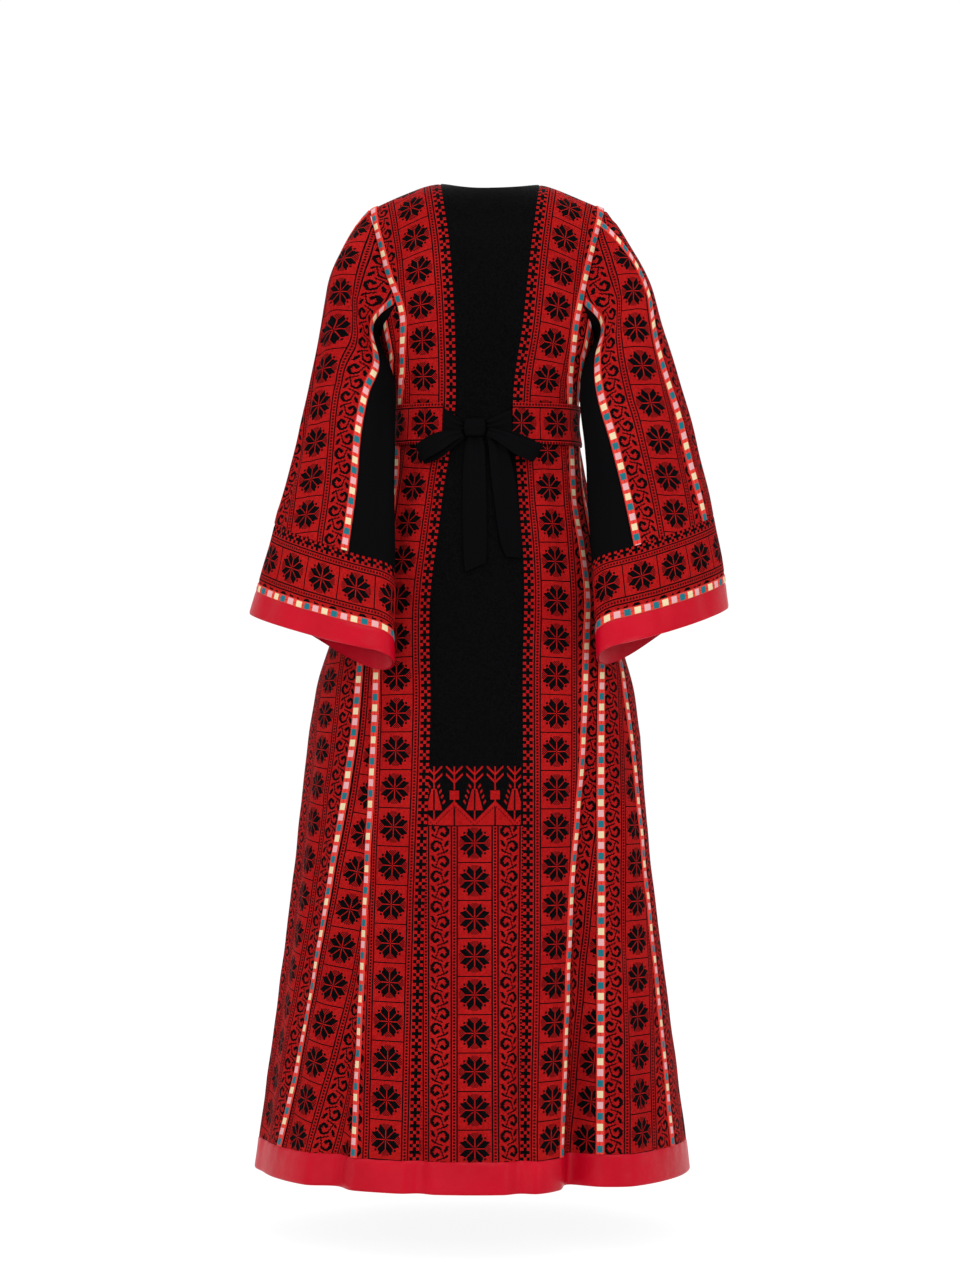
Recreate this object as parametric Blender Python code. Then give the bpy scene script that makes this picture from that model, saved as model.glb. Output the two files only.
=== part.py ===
"""A long embroidered thobe, in its worn shape: panelled dress, bell sleeves, belt and tied bow.

Metres, +Z up. The origin lies between the shoulder seams, level with their neck ends.
The front faces -Y and the back +Y, and the dress's left is +X.
A place on the dress is a turn in degrees and a level. The turn is 0 at centre back, 90 at the
dress's left side, 180 at centre front and -90 at the right side. The level is the height
before the shoulders slope, so it is the height itself from the waist down.
A place on a sleeve is a turn (0 outer, 90 back, 180 inner, 270 front) and a share of its length.
"""

import math
from collections import namedtuple

import bmesh
import bpy
import numpy as np

# Driving dimensions
HEM = -1.375
HEM_BAND = 0.043
CLOTH = 0.0018
TRIM = 0.0010
SEAM = 0.0004
TAPE_WIDTH = 0.0120
TAPE_EDGE = 0.0010
TAPE_LIFT = 0.0007
SHOULDER_ROUND = 0.050
SHOULDER_SLOPE = 0.44
SLOPE_START = 0.080
WAIST = -0.330
BELT_LEVELS = (-0.371, -0.341, -0.313)
BELT_LIFT = 0.0028
BELT_CLOTH = 0.0022
BELT_ENDS = (0.0578, -0.0372)
ARMHOLE_CORNER = -0.165
ARMHOLE_BOTTOM = -0.205
UNDERARM = 128.0
NECK_BACK = -0.012
NECK_FRONT = -0.085
NECK_SLIT = -0.225
SLIT_HALF = 0.0035
CUFF_BAND = 0.085
CUFF_SATIN = 0.032
CUFF_FACING = 0.105
CUFF_SAG = 0.034
CUFF_SAG_TURN = 238.0
SLEEVE_CLEAR = 0.0050
BLACK, RED = (0.010, 0.010, 0.011), (0.45, 0.012, 0.014)

# Body sections. fullness pushes the corners of the oval out.
Section = namedtuple("Section", "level width back front shift fullness")
SECTIONS = (
    Section(0.000, 0.1650, 0.060, 0.050, 0.0000, 0.10),
    Section(-0.050, 0.1630, 0.070, 0.056, 0.0000, 0.10),
    Section(-0.100, 0.1580, 0.088, 0.078, 0.0000, 0.10),
    Section(-0.160, 0.1520, 0.098, 0.104, 0.0000, 0.10),
    Section(-0.205, 0.1490, 0.100, 0.116, 0.0000, 0.10),
    Section(-0.260, 0.1385, 0.094, 0.102, 0.0010, 0.08),
    Section(-0.330, 0.1275, 0.088, 0.090, 0.0025, 0.08),
    Section(-0.400, 0.1375, 0.100, 0.098, 0.0040, 0.07),
    Section(-0.480, 0.1580, 0.122, 0.111, 0.0070, 0.05),
    Section(-0.600, 0.1890, 0.142, 0.124, 0.0140, 0.04),
    Section(-0.720, 0.2243, 0.163, 0.142, 0.0168, 0.03),
    Section(-1.000, 0.2565, 0.208, 0.188, 0.0170, 0.02),
    Section(-1.375, 0.3015, 0.260, 0.238, 0.0165, 0.02),
)

# Distance of each seam from the centre line, on the dress's left and right. The side seam is a turn.
Seams = namedtuple("Seams", "level centre back gore side front chest")
LEFT_SEAMS = (
    Seams(0.000, 0.0650, 0.1645, 0.1645, 90.0, 0.1645, 0.0650),
    Seams(-0.100, 0.0515, 0.1440, 0.1480, 92.0, 0.1440, 0.0560),
    Seams(-0.200, 0.0450, 0.1210, 0.1350, 98.0, 0.1240, 0.0480),
    Seams(-0.310, 0.0415, 0.1215, 0.1265, 104.0, 0.1150, 0.0430),
    Seams(-0.440, 0.0555, 0.1280, 0.1390, 104.0, 0.1280, 0.0500),
    Seams(-0.600, 0.0650, 0.1380, 0.1490, 104.0, 0.1380, 0.0580),
    Seams(-0.720, 0.0605, 0.1420, 0.1550, 104.0, 0.1440, 0.0600),
    Seams(-1.000, 0.0680, 0.1555, 0.1970, 104.0, 0.1520, 0.0620),
    Seams(-1.375, 0.0770, 0.1700, 0.2730, 104.0, 0.1600, 0.0660),
)
RIGHT_SEAMS = (
    Seams(0.000, 0.0735, 0.1645, 0.1645, 90.0, 0.1645, 0.0735),
    Seams(-0.100, 0.0605, 0.1440, 0.1480, 92.0, 0.1440, 0.0560),
    Seams(-0.200, 0.0500, 0.1275, 0.1370, 96.0, 0.1240, 0.0480),
    Seams(-0.310, 0.0380, 0.1200, 0.1255, 98.0, 0.1150, 0.0430),
    Seams(-0.440, 0.0485, 0.1300, 0.1375, 96.0, 0.1280, 0.0500),
    Seams(-0.600, 0.0650, 0.1560, 0.1680, 82.0, 0.1380, 0.0580),
    Seams(-0.720, 0.0655, 0.1575, 0.1700, 70.0, 0.1440, 0.0600),
    Seams(-1.000, 0.0660, 0.1400, 0.1740, 69.5, 0.1520, 0.0620),
    Seams(-1.375, 0.0615, 0.1275, 0.1770, 66.0, 0.1600, 0.0660),
)

# Folds of the skirt: each lies a share of the way between two seams and deepens towards the hem.
Fold = namedtuple("Fold", "side first second share reach depth start")
FOLDS = (
    Fold(-1, "back", "gore", 0.50, 16.0, 0.036, -0.60),
    Fold(-1, "back", "gore", 0.50, 7.0, 0.026, -0.66),
    Fold(1, "back", "gore", 0.22, 9.0, 0.020, -0.62),
    Fold(-1, "centre", "back", 0.00, 4.5, 0.009, -0.70),
    Fold(1, "centre", "back", 0.00, 4.5, 0.008, -0.78),
    Fold(1, "gore", "side", 0.55, 10.0, -0.006, -0.70),
    Fold(-1, "side", "front", 0.35, 14.0, 0.012, -0.64),
    Fold(1, "side", "front", 0.30, 12.0, 0.014, -0.60),
    Fold(1, "side", "front", 0.85, 9.0, 0.022, -0.62),
    Fold(-1, "side", "front", 0.82, 10.0, 0.025, -0.60),
    Fold(1, "front", "chest", 0.95, 6.0, 0.010, -0.72),
    Fold(-1, "front", "chest", 0.90, 6.0, 0.008, -0.66),
)

# Sleeve rings: the outer and inner end of each oval, its half depth, and the turns of its three seams.
Ring = namedtuple("Ring", "along out_x out_y out_z in_x in_y in_z depth outer back front")
LEFT_RINGS = (
    Ring(0.00, 0.1650, 0.000, -0.036, 0.1490, 0.000, -0.205, 0.066, -6, 128, 232),
    Ring(0.10, 0.1940, 0.000, -0.075, 0.1500, 0.012, -0.218, 0.061, -6, 140, 250),
    Ring(0.20, 0.2125, 0.001, -0.125, 0.1360, 0.040, -0.255, 0.056, -6, 156, 262),
    Ring(0.35, 0.2280, 0.008, -0.205, 0.1265, 0.070, -0.315, 0.047, -6, 133, 264),
    Ring(0.50, 0.2450, 0.020, -0.290, 0.1265, 0.102, -0.380, 0.045, -6, 126, 262),
    Ring(0.65, 0.2650, 0.032, -0.375, 0.1265, 0.122, -0.450, 0.043, -6, 123.5, 258),
    Ring(0.80, 0.2855, 0.045, -0.460, 0.1260, 0.148, -0.525, 0.045, -6, 120.5, 256),
    Ring(0.90, 0.3035, 0.056, -0.530, 0.1260, 0.170, -0.592, 0.048, -6, 119, 256),
    Ring(1.00, 0.3235, 0.068, -0.602, 0.1265, 0.194, -0.656, 0.052, -6, 119, 256),
)
RIGHT_RINGS = (
    Ring(0.00, 0.1650, 0.000, -0.036, 0.1490, 0.000, -0.205, 0.066, 14, 128, 232),
    Ring(0.10, 0.2000, 0.000, -0.083, 0.1500, 0.012, -0.218, 0.061, 30, 140, 248),
    Ring(0.20, 0.2195, 0.001, -0.132, 0.1360, 0.040, -0.255, 0.055, 45, 156, 262),
    Ring(0.35, 0.2455, 0.004, -0.215, 0.1290, 0.068, -0.315, 0.047, 52, 147, 268),
    Ring(0.50, 0.2730, 0.008, -0.303, 0.1355, 0.092, -0.380, 0.045, 50, 139, 270),
    Ring(0.65, 0.2925, 0.012, -0.380, 0.1390, 0.110, -0.450, 0.046, 49, 131, 270),
    Ring(0.80, 0.3090, 0.018, -0.455, 0.1430, 0.132, -0.520, 0.048, 47, 127, 276),
    Ring(0.90, 0.3205, 0.024, -0.520, 0.1465, 0.150, -0.580, 0.050, 46, 125, 279),
    Ring(1.00, 0.3290, 0.030, -0.592, 0.1500, 0.170, -0.649, 0.053, 46, 125, 280),
)
ARMHOLE_BLEND = 0.24
FRONT_SHARE = 0.60
CUFF_START = 0.80

# Ribbons of the bow, from the knot outwards: place, height over the dress, width and lean of its width.
Ribbon = namedtuple("Ribbon", "x z lift width lean")
KNOT = Ribbon(0.0165, -0.3495, 0.0019, 0.031, 0)
KNOT_HEIGHT, KNOT_DEPTH = 0.025, 0.013
STRAPS = {
    "left": (
        Ribbon(0.0327, -0.3480, 0.0034, 0.019, 88),
        Ribbon(0.0450, -0.3440, 0.0030, 0.028, 90),
        Ribbon(0.0602, -0.3420, 0.0032, 0.044, 91),
    ),
    "right": (
        Ribbon(0.0003, -0.3480, 0.0034, 0.019, 92),
        Ribbon(-0.0160, -0.3440, 0.0030, 0.028, 90),
        Ribbon(-0.0336, -0.3440, 0.0030, 0.042, 89),
    ),
}
LOOPS = {
    "left": (
        Ribbon(0.0334, -0.3590, 0.0085, 0.013, 62),
        Ribbon(0.0480, -0.3650, 0.0072, 0.023, 62),
        Ribbon(0.0640, -0.3750, 0.0065, 0.029, 64),
        Ribbon(0.0800, -0.3850, 0.0072, 0.027, 66),
        Ribbon(0.0865, -0.3890, 0.0120, 0.024, 66),
        Ribbon(0.0830, -0.3850, 0.0165, 0.024, 64),
        Ribbon(0.0650, -0.3730, 0.0170, 0.026, 62),
        Ribbon(0.0480, -0.3630, 0.0145, 0.019, 62),
        Ribbon(0.0334, -0.3575, 0.0120, 0.012, 64),
    ),
    "right": (
        Ribbon(-0.0010, -0.3550, 0.0085, 0.012, 112),
        Ribbon(-0.0190, -0.3600, 0.0090, 0.018, 112),
        Ribbon(-0.0400, -0.3700, 0.0085, 0.024, 112),
        Ribbon(-0.0580, -0.3810, 0.0090, 0.027, 114),
        Ribbon(-0.0650, -0.3860, 0.0140, 0.027, 116),
        Ribbon(-0.0600, -0.3870, 0.0200, 0.027, 118),
        Ribbon(-0.0400, -0.3790, 0.0200, 0.024, 116),
        Ribbon(-0.0190, -0.3650, 0.0160, 0.018, 112),
        Ribbon(-0.0010, -0.3565, 0.0122, 0.012, 112),
    ),
}
TAILS = {
    "left": (
        Ribbon(0.0165, -0.3625, 0.0040, 0.021, 0),
        Ribbon(0.0170, -0.3800, 0.0048, 0.027, 0),
        Ribbon(0.0175, -0.4200, 0.0040, 0.031, 0),
        Ribbon(0.0170, -0.4700, 0.0040, 0.032, 0),
        Ribbon(0.0165, -0.5150, 0.0045, 0.031, -6),
        Ribbon(0.0160, -0.5420, 0.0050, 0.030, -24),
    ),
    "right": (
        Ribbon(-0.0052, -0.3594, 0.0050, 0.014, 14),
        Ribbon(-0.0140, -0.3770, 0.0078, 0.025, 10),
        Ribbon(-0.0205, -0.4150, 0.0062, 0.031, 6),
        Ribbon(-0.0270, -0.4700, 0.0045, 0.031, 6),
        Ribbon(-0.0320, -0.5100, 0.0045, 0.028, 5),
        Ribbon(-0.0345, -0.5280, 0.0050, 0.018, 4),
    ),
}

# Rows of the long panels, from the hem band up.
SKIRT_ROWS = (-1.24, -1.12, -1.0, -0.88, -0.78, -0.70, -0.62, -0.54, -0.475, -0.42)
WAIST_ROWS = (-0.373, -0.340, -0.307)
BODICE_ROWS = (-0.25, -0.205, ARMHOLE_CORNER)
SHOULDER_ROWS = (-0.125, -0.085, -0.05, -0.027, -0.011, 0.0)
SLEEVE_ROWS = (0.0, 0.022, 0.06, 0.125, 0.21, 0.32, 0.48, 0.68, 0.85, 1.0)


def smooth_step(x):
    x = np.clip(x, 0, 1)
    return x * x * (3 - 2 * x)


def curve(table, column, at):
    """A column's values between the rows of a table, on a smooth curve that never overshoots them."""
    rows = sorted(table)
    x = np.array([row[0] for row in rows])
    y = np.array([getattr(row, column) for row in rows], float)
    slope = np.diff(y) / np.diff(x)
    before, after = slope[:-1], slope[1:]
    same = before * after > 0
    tangent = np.concatenate([slope[:1], np.zeros(len(x) - 2), slope[-1:]])
    tangent[1:-1][same] = (2 * before * after)[same] / (before + after)[same]
    at = np.clip(at, x[0], x[-1])
    i = np.clip(np.searchsorted(x, at) - 1, 0, len(x) - 2)
    span = x[i + 1] - x[i]
    t = (at - x[i]) / span
    ends = y[i] * (1 + 2 * t) * (1 - t) ** 2 + y[i + 1] * t * t * (3 - 2 * t)
    return ends + span * (tangent[i] * t * (1 - t) ** 2 - tangent[i + 1] * t * t * (1 - t))


# The sections and seams are read once, at close levels.
LEVELS = np.linspace(HEM, 0.0, 1376)
OVAL = {name: curve(SECTIONS, name, LEVELS) for name in Section._fields[1:]}


def oval_turn(offset, width, fullness):
    """The turn, up to 90, at which an oval is this far from its centre line."""
    low, high = np.zeros_like(width), np.full_like(width, np.pi / 2)
    for _ in range(30):
        middle = (low + high) / 2
        inside = np.sin(middle) * (1 + fullness * np.cos(middle) ** 2) * width < offset
        low, high = np.where(inside, middle, low), np.where(inside, high, middle)
    return np.degrees(low)


def seam_turns(table):
    turns = {name: oval_turn(curve(table, name, LEVELS), OVAL["width"], OVAL["fullness"])
             for name in ("centre", "back", "gore", "front", "chest")}
    turns["side"] = curve(table, "side", LEVELS)
    for name in ("front", "chest"):
        turns[name] = 180 - turns[name]
    return turns


SEAM_TURNS = {1: seam_turns(LEFT_SEAMS), -1: seam_turns(RIGHT_SEAMS)}


def seam(side, name, level):
    """The turn of a named seam at a level, without its sign."""
    return np.interp(level, LEVELS, SEAM_TURNS[side][name])


def body(turn, level):
    """Points on the dress's outer face."""
    turn, level = np.broadcast_arrays(np.asarray(turn, float), np.asarray(level, float))
    width, back, front, shift, fullness = (
        np.interp(level, LEVELS, OVAL[name]) for name in Section._fields[1:]
    )
    t = np.radians(turn)
    across = np.sin(t) * (1 + fullness * np.cos(t) ** 2)
    along = np.cos(t) * (1 + fullness * np.sin(t) ** 2)
    rounding = np.clip(1 + level / SHOULDER_ROUND, 0, 1)
    depth = np.where(along > 0, back, front) * np.sqrt(1 - rounding**2)
    x, y = width * across, depth * along

    pull = np.zeros_like(x)
    around = np.mod(turn, 360)
    side = np.where(around <= 180, 1, -1)
    away = np.minimum(around, 360 - around)
    for fold in FOLDS:
        first, second = seam(fold.side, fold.first, level), seam(fold.side, fold.second, level)
        off = np.abs(away - first - (second - first) * fold.share) / fold.reach
        grown = np.clip((fold.start - level) / (fold.start - HEM), 0, 1) ** 1.15
        shape = np.cos(np.clip(off, 0, 1) * np.pi / 2) ** 2
        pull += np.where(side == fold.side, fold.depth * grown * shape, 0)
    out_x, out_y = across / width, along / np.maximum(depth, 1e-4)
    length = np.hypot(out_x, out_y)
    x, y = x - pull * out_x / length, y - pull * out_y / length

    beyond = np.abs(x) - SLOPE_START
    drop = SHOULDER_SLOPE * (beyond + np.sqrt(beyond**2 + 0.0004)) / 2
    drop *= 1 - smooth_step(level / WAIST)
    y = y + SEAM / 2 * np.where(along > 0, 1, -1) * rounding
    return np.stack([x + shift, y, level - drop], axis=-1)


def unit(vectors):
    return vectors / np.maximum(np.linalg.norm(vectors, axis=-1, keepdims=True), 1e-12)


def body_normals(turn, level):
    """Outward directions, the same for every panel that meets at a place."""
    turn, level = np.broadcast_arrays(np.asarray(turn, float), np.asarray(level, float))
    around = body(turn + 0.6, level) - body(turn - 0.6, level)
    up = body(turn, np.minimum(level + 0.002, 0.0)) - body(turn, level - 0.002)
    out = np.cross(up, around)
    out[..., 1] *= level < -1e-6
    return unit(out)


def armhole_floor(side, turn):
    """The level of the armhole's lower edge, a hollow curve from corner to corner."""
    back, front = seam(side, "back", ARMHOLE_CORNER), seam(side, "front", ARMHOLE_CORNER)
    share = np.where(turn < 90, (90 - turn) / (90 - back), (turn - 90) / (front - 90))
    return ARMHOLE_BOTTOM + (ARMHOLE_CORNER - ARMHOLE_BOTTOM) * np.clip(share, 0, 1) ** 2


def armhole(side, turn):
    """The signed (turn, level) on the dress where a turn round the sleeve meets it."""
    around = np.mod(turn, 360)
    at_front = around > 180
    around = np.minimum(around, 360 - around)
    level = ARMHOLE_CORNER * np.clip(around / UNDERARM, 0, 1)
    edge = np.where(at_front, seam(side, "front", level), seam(side, "back", level))
    under = np.clip((around - UNDERARM) / (180 - UNDERARM), 0, 1)
    place = edge + (90 - edge) * under
    return side * place, np.where(under > 0, armhole_floor(side, place), level)


def clear_of_dress(points, side, along):
    """Sleeve points moved sideways off the dress where they would touch it."""
    low, high = np.zeros_like(along), np.full_like(along, 180.0)
    level = np.minimum(points[..., 2], 0.0)
    for _ in range(16):
        middle = (low + high) / 2
        at = body(side * middle, level)
        level = np.minimum(level + points[..., 2] - at[..., 2], 0.0)
        behind = at[..., 1] > points[..., 1]
        low, high = np.where(behind, middle, low), np.where(behind, high, middle)
    fade = smooth_step(along / 0.24)
    gap = side * (points[..., 0] - body(side * (low + high) / 2, level)[..., 0]) - SLEEVE_CLEAR * fade
    round_off = 0.0050 * fade
    points[..., 0] += side * (np.sqrt(gap**2 + round_off**2) - gap) / 2
    return points


def sleeve(side, turn, along):
    """Points on a sleeve's outer face, from the armhole at 0 to the cuff's edge at 1."""
    turn, along = np.broadcast_arrays(np.asarray(turn, float), np.asarray(along, float))
    table = LEFT_RINGS if side > 0 else RIGHT_RINGS
    out_x, out_y, out_z, in_x, in_y, in_z, depth = (
        curve(table, name, along) for name in Ring._fields[1:8]
    )
    outer = np.stack([out_x, out_y, out_z], axis=-1)
    inner = np.stack([in_x, in_y, in_z], axis=-1)
    reach = (outer - inner) / 2
    back = unit(np.stack([-reach[..., 1], reach[..., 0], np.zeros_like(along)], axis=-1))
    t = np.radians(turn)[..., None]
    flat = 1 - (1 - FRONT_SHARE) * smooth_step(along / 0.5)
    depth = np.where(np.sin(np.radians(turn)) < 0, depth * flat, depth)
    tube = (outer + inner) / 2 + reach * np.cos(t) + back * depth[..., None] * np.sin(t)
    low = np.clip(np.cos(np.radians(turn - CUFF_SAG_TURN)), 0, 1)
    tube[..., 2] -= CUFF_SAG * low**2 * smooth_step((along - 0.7) / 0.3)
    tube[..., 0] *= side
    start = body(*armhole(side, turn))
    share = (1 - np.clip(1 - along / ARMHOLE_BLEND, 0, 1) ** 2)[..., None]
    return clear_of_dress(start * (1 - share) + tube * share, side, along)


def sleeve_normals(side, turn, along):
    turn, along = np.broadcast_arrays(np.asarray(turn, float), np.asarray(along, float))
    around = sleeve(side, turn + 1, along) - sleeve(side, turn - 1, along)
    down = sleeve(side, turn, np.minimum(along + 0.01, 1)) - sleeve(side, turn, np.maximum(along - 0.01, 0))
    out = unit(np.cross(down, around) * side)
    beside = body_normals(*armhole(side, turn))
    agree = smooth_step((out * beside).sum(axis=-1) / 0.7) * np.clip(1 - along / 0.03, 0, 1)
    return unit(out * (1 - agree[..., None]) + beside * agree[..., None])


def cuff_place(side, turn, from_edge):
    """The share along a sleeve at a distance from the cuff's edge."""
    length = np.linalg.norm(sleeve(side, turn, 1.0) - sleeve(side, turn, CUFF_START), axis=-1)
    return 1 - from_edge * (1 - CUFF_START) / length


def sleeve_seam(side, name, share):
    """The turn of a sleeve's seam, at a share of the way down to the cuff band."""
    return curve(LEFT_RINGS if side > 0 else RIGHT_RINGS, name, np.asarray(share) * CUFF_START)


def finish_mesh(name, corners, faces, material):
    mesh = bpy.data.meshes.new(name)
    built = bmesh.new()
    points = [built.verts.new(c) for c in corners]
    for face in faces:
        built.faces.new([points[i] for i in face])
    bmesh.ops.recalc_face_normals(built, faces=built.faces)
    built.to_mesh(mesh)
    built.free()
    mesh.shade_smooth()
    mesh.set_sharp_from_angle(angle=math.radians(45))
    mesh.materials.append(material)
    item = bpy.data.objects.new(name, mesh)
    bpy.context.scene.collection.objects.link(item)
    return item


def wall(name, outer, inner, material, closed=False):
    """One closed cloth wall between two grids of points. A closed grid runs all round."""
    rows, columns = outer.shape[:2]
    half = rows * columns
    faces = []
    for j in range(rows - 1):
        for i in range(columns if closed else columns - 1):
            a, b = j * columns + i, j * columns + (i + 1) % columns
            c, d = b + columns, a + columns
            faces += [(a, b, c), (a, c, d)]
            faces += [(half + a, half + c, half + b), (half + a, half + d, half + c)]
    bottom = [i for i in range(columns)]
    top = [(rows - 1) * columns + i for i in range(columns - 1, -1, -1)]
    if closed:
        edges = [list(zip(loop, loop[1:] + loop[:1])) for loop in (bottom, top)]
        edges = edges[0] + edges[1]
    else:
        right = [j * columns + columns - 1 for j in range(1, rows - 1)]
        left = [j * columns for j in range(rows - 2, 0, -1)]
        loop = bottom + right + top + left
        edges = zip(loop, loop[1:] + loop[:1])
    for a, b in edges:
        faces += [(b, a, half + a), (b, half + a, half + b)]
    corners = np.concatenate([outer.reshape(-1, 3), inner.reshape(-1, 3)])
    return finish_mesh(name, corners, faces, material)


def across(surface, first, last, count, near=0.0, far=0.0, gaps=(1, 1)):
    """Turns of a panel's columns on each row, spaced along the cloth from seam to seam.

    surface gives a row's points from its turns. near and far set a column this far in from an edge.
    """
    samples = first[:, None] + (last - first)[:, None] * np.linspace(0, 1, 41)
    points = surface(samples)
    steps = np.linalg.norm(np.diff(points, axis=1), axis=-1)
    rows = []
    for turns, step in zip(samples, steps):
        lengths = np.concatenate([[0], np.cumsum(step)])
        low, high = gaps[0] * SEAM / 2, lengths[-1] - gaps[1] * SEAM / 2
        middle = list(np.linspace(near or low, lengths[-1] - far if far else high, count + 1))
        places = ([low] if near else []) + middle + ([high] if far else [])
        rows.append(np.interp(places, lengths, turns))
    return np.array(rows)


HEM_TURNS = []
TAPE_COLUMN = TAPE_WIDTH + 2 * TAPE_EDGE
LOWEST = HEM + HEM_BAND + SEAM


def body_levels(high):
    rows = (LOWEST,) + SKIRT_ROWS + WAIST_ROWS + BODICE_ROWS + (SHOULDER_ROWS if high else ())
    return np.array(rows)


def lift_rows(levels, turns, top):
    """Moves the rows above the waist up or down, so that the last one follows a panel's top edge."""
    floor = WAIST_ROWS[-1]
    rise = np.clip((levels - floor) / (levels[-1] - floor), 0, 1)[:, None]
    return levels[:, None] + rise * (top - levels[-1])[None, :] + 0 * turns


def body_grid(turns, levels, thickness=CLOTH, lift=0.0):
    points, normals = body(turns, levels), body_normals(turns, levels)
    return points + normals * lift, points + normals * (lift - thickness), normals


def lay_tape(name, points, normals, at, towards, material, skip=0):
    """A tape on a panel, between the panel's column at its edge and the next one in."""
    edge, inner = points[skip:, at], points[skip:, towards]
    way = unit(inner - edge)
    out = normals[skip:, at] + normals[skip:, towards]
    out = unit(out - way * (out * way).sum(axis=-1, keepdims=True))
    near, far = edge + way * TAPE_EDGE, inner - way * TAPE_EDGE
    pair = [near, far] if at in (0, -2) else [far, near]
    lower = np.stack([p + out * TAPE_LIFT for p in pair], axis=1)
    return wall(name, lower + out[:, None] * TRIM, lower, material)


def body_panel(name, side, first, last, count, material, tapes=None, high=False):
    """A panel between two seams of one side, with the tapes laid on its edges."""
    tapes = tapes or {}
    levels = body_levels(high)
    near = TAPE_COLUMN if "first" in tapes else 0.0
    far = TAPE_COLUMN if "last" in tapes else 0.0
    turns = side * across(
        lambda t: body(side * t, levels[:, None]),
        seam(side, first, levels), seam(side, last, levels), count, near, far,
    )
    heights = levels[:, None] + 0 * turns
    if not high:
        heights = lift_rows(levels, turns, armhole_floor(side, np.abs(turns[-1])) - SEAM)
    outer, inner, normals = body_grid(turns, heights)
    wall(name, outer, inner, material)
    trim = bpy.data.materials["tape"]
    HEM_TURNS.append(turns[0])
    if "first" in tapes:
        lay_tape(tapes["first"], outer, normals, 0, 1, trim)
    if "last" in tapes:
        lay_tape(tapes["last"], outer, normals, -1, -2, trim)


def centre_panel(name, seam_name, middle, count, material, top, slit=0.0):
    """A panel across the centre line, whose top edge is the neckline."""
    levels = body_levels(True)
    halves = []
    for side in (-1, 1) if middle == 0 else (1, -1):
        edge = seam(side, seam_name, levels)
        edge = side * edge if middle == 0 else 180 - side * (180 - edge)
        centre = np.full_like(levels, middle)
        surface = lambda t: body(t, levels[:, None])
        if not halves:
            halves.append(across(surface, edge, centre, count, far=slit, gaps=(1, 0)))
        else:
            halves.append(across(surface, centre, edge, count, near=slit, gaps=(0, 1))[:, 1:])
    turns = np.concatenate(halves, axis=1)
    away = turns[-1] - middle
    heights = lift_rows(levels, turns, top(away / np.where(away < 0, away[0], away[-1])))
    outer, inner, _ = body_grid(turns, heights)
    wall(name, outer, inner, material)
    HEM_TURNS.append(turns[0])


def back_neck(share):
    return NECK_BACK * (1 - share**2)


def front_neck(share):
    """A round neckline with a narrow slit down the centre."""
    return np.where(share < 1e-6, NECK_SLIT, NECK_FRONT * (1 - share**2.6))


def sleeve_panels(side, word, cloth, black):
    """A sleeve's two strips and gusset, and the turns of the columns where they meet the cuff."""
    shares = np.array(SLEEVE_ROWS)
    tape = bpy.data.materials["tape"]
    outer_seam = sleeve_seam(side, "outer", shares)
    back_seam, front_seam = (sleeve_seam(side, name, shares) for name in ("back", "front"))
    strips = (
        ("back", outer_seam, back_seam, 9, cloth, TAPE_COLUMN, TAPE_COLUMN),
        ("gusset", back_seam, front_seam, 8, black, 0.0, 0.0),
        ("front", front_seam, outer_seam + 360, 8, cloth, TAPE_COLUMN, 0.0),
    )
    foot = []
    for word_end, first, last, count, material, near, far in strips:
        surface = lambda t: sleeve(side, t, shares[:, None] * cuff_top(side, t))
        turns = across(surface, first, last, count, near, far, gaps=(2, 2))
        along = shares[:, None] * cuff_top(side, turns)
        points, normals = sleeve(side, turns, along), sleeve_normals(side, turns, along)
        ways = unit(points[1] - points[0])
        points[0] += ways * 3 * SEAM
        points[-1] -= unit(points[-1] - points[-2]) * SEAM
        wall(f"sleeve_{word_end}_{word}", points, points - normals * CLOTH, material)
        if word_end == "back":
            lay_tape(f"sleeve_outer_tape_{word}", points, normals, 0, 1, tape, 1)
            lay_tape(f"sleeve_back_tape_{word}", points, normals, -1, -2, tape, 1)
        elif word_end == "front":
            lay_tape(f"sleeve_front_tape_{word}", points, normals, 0, 1, tape, 1)
        foot += [first[-1]] + list(turns[-1][1:-1])
    return np.array(foot)


def cuff_top(side, turn):
    return cuff_place(side, turn, CUFF_SATIN + TAPE_WIDTH + CUFF_BAND)


def cuff_ring(name, side, turns, high, low, material, steps=2, depth=0.0, thickness=CLOTH):
    """A ring of a cuff, between two distances from its edge."""
    distances = np.linspace(high, low, steps)[:, None]
    along = cuff_place(side, turns[None, :], distances)
    points, normals = sleeve(side, turns[None, :], along), sleeve_normals(side, turns[None, :], along)
    wall(name, points - normals * depth, points - normals * (depth + thickness), material, closed=True)


def cuffs(side, word, turns, cloth, satin):
    tape = bpy.data.materials["tape"]
    band, trim = CUFF_SATIN + TAPE_WIDTH, CUFF_SATIN
    cuff_ring(f"cuff_band_{word}", side, turns, band + CUFF_BAND - SEAM, band + SEAM, cloth, 3)
    cuff_ring(f"cuff_tape_{word}", side, turns, band - SEAM, trim + SEAM, tape)
    cuff_ring(f"cuff_hem_{word}", side, turns, trim - SEAM, 0.0, satin)
    cuff_ring(f"cuff_facing_{word}", side, turns, CUFF_FACING, 0.0005, satin, 3,
              depth=CLOTH + 2 * SEAM, thickness=TRIM)


def on_back(x, z, lift):
    """A point over the dress's back, at a distance from it."""
    width, shift, fullness = (np.interp(z, LEVELS, OVAL[name]) for name in ("width", "shift", "fullness"))
    turn = np.sign(x - shift) * oval_turn(np.abs(x - shift), width, fullness)
    return body(turn, z) + body_normals(turn, z) * lift[..., None]


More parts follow.
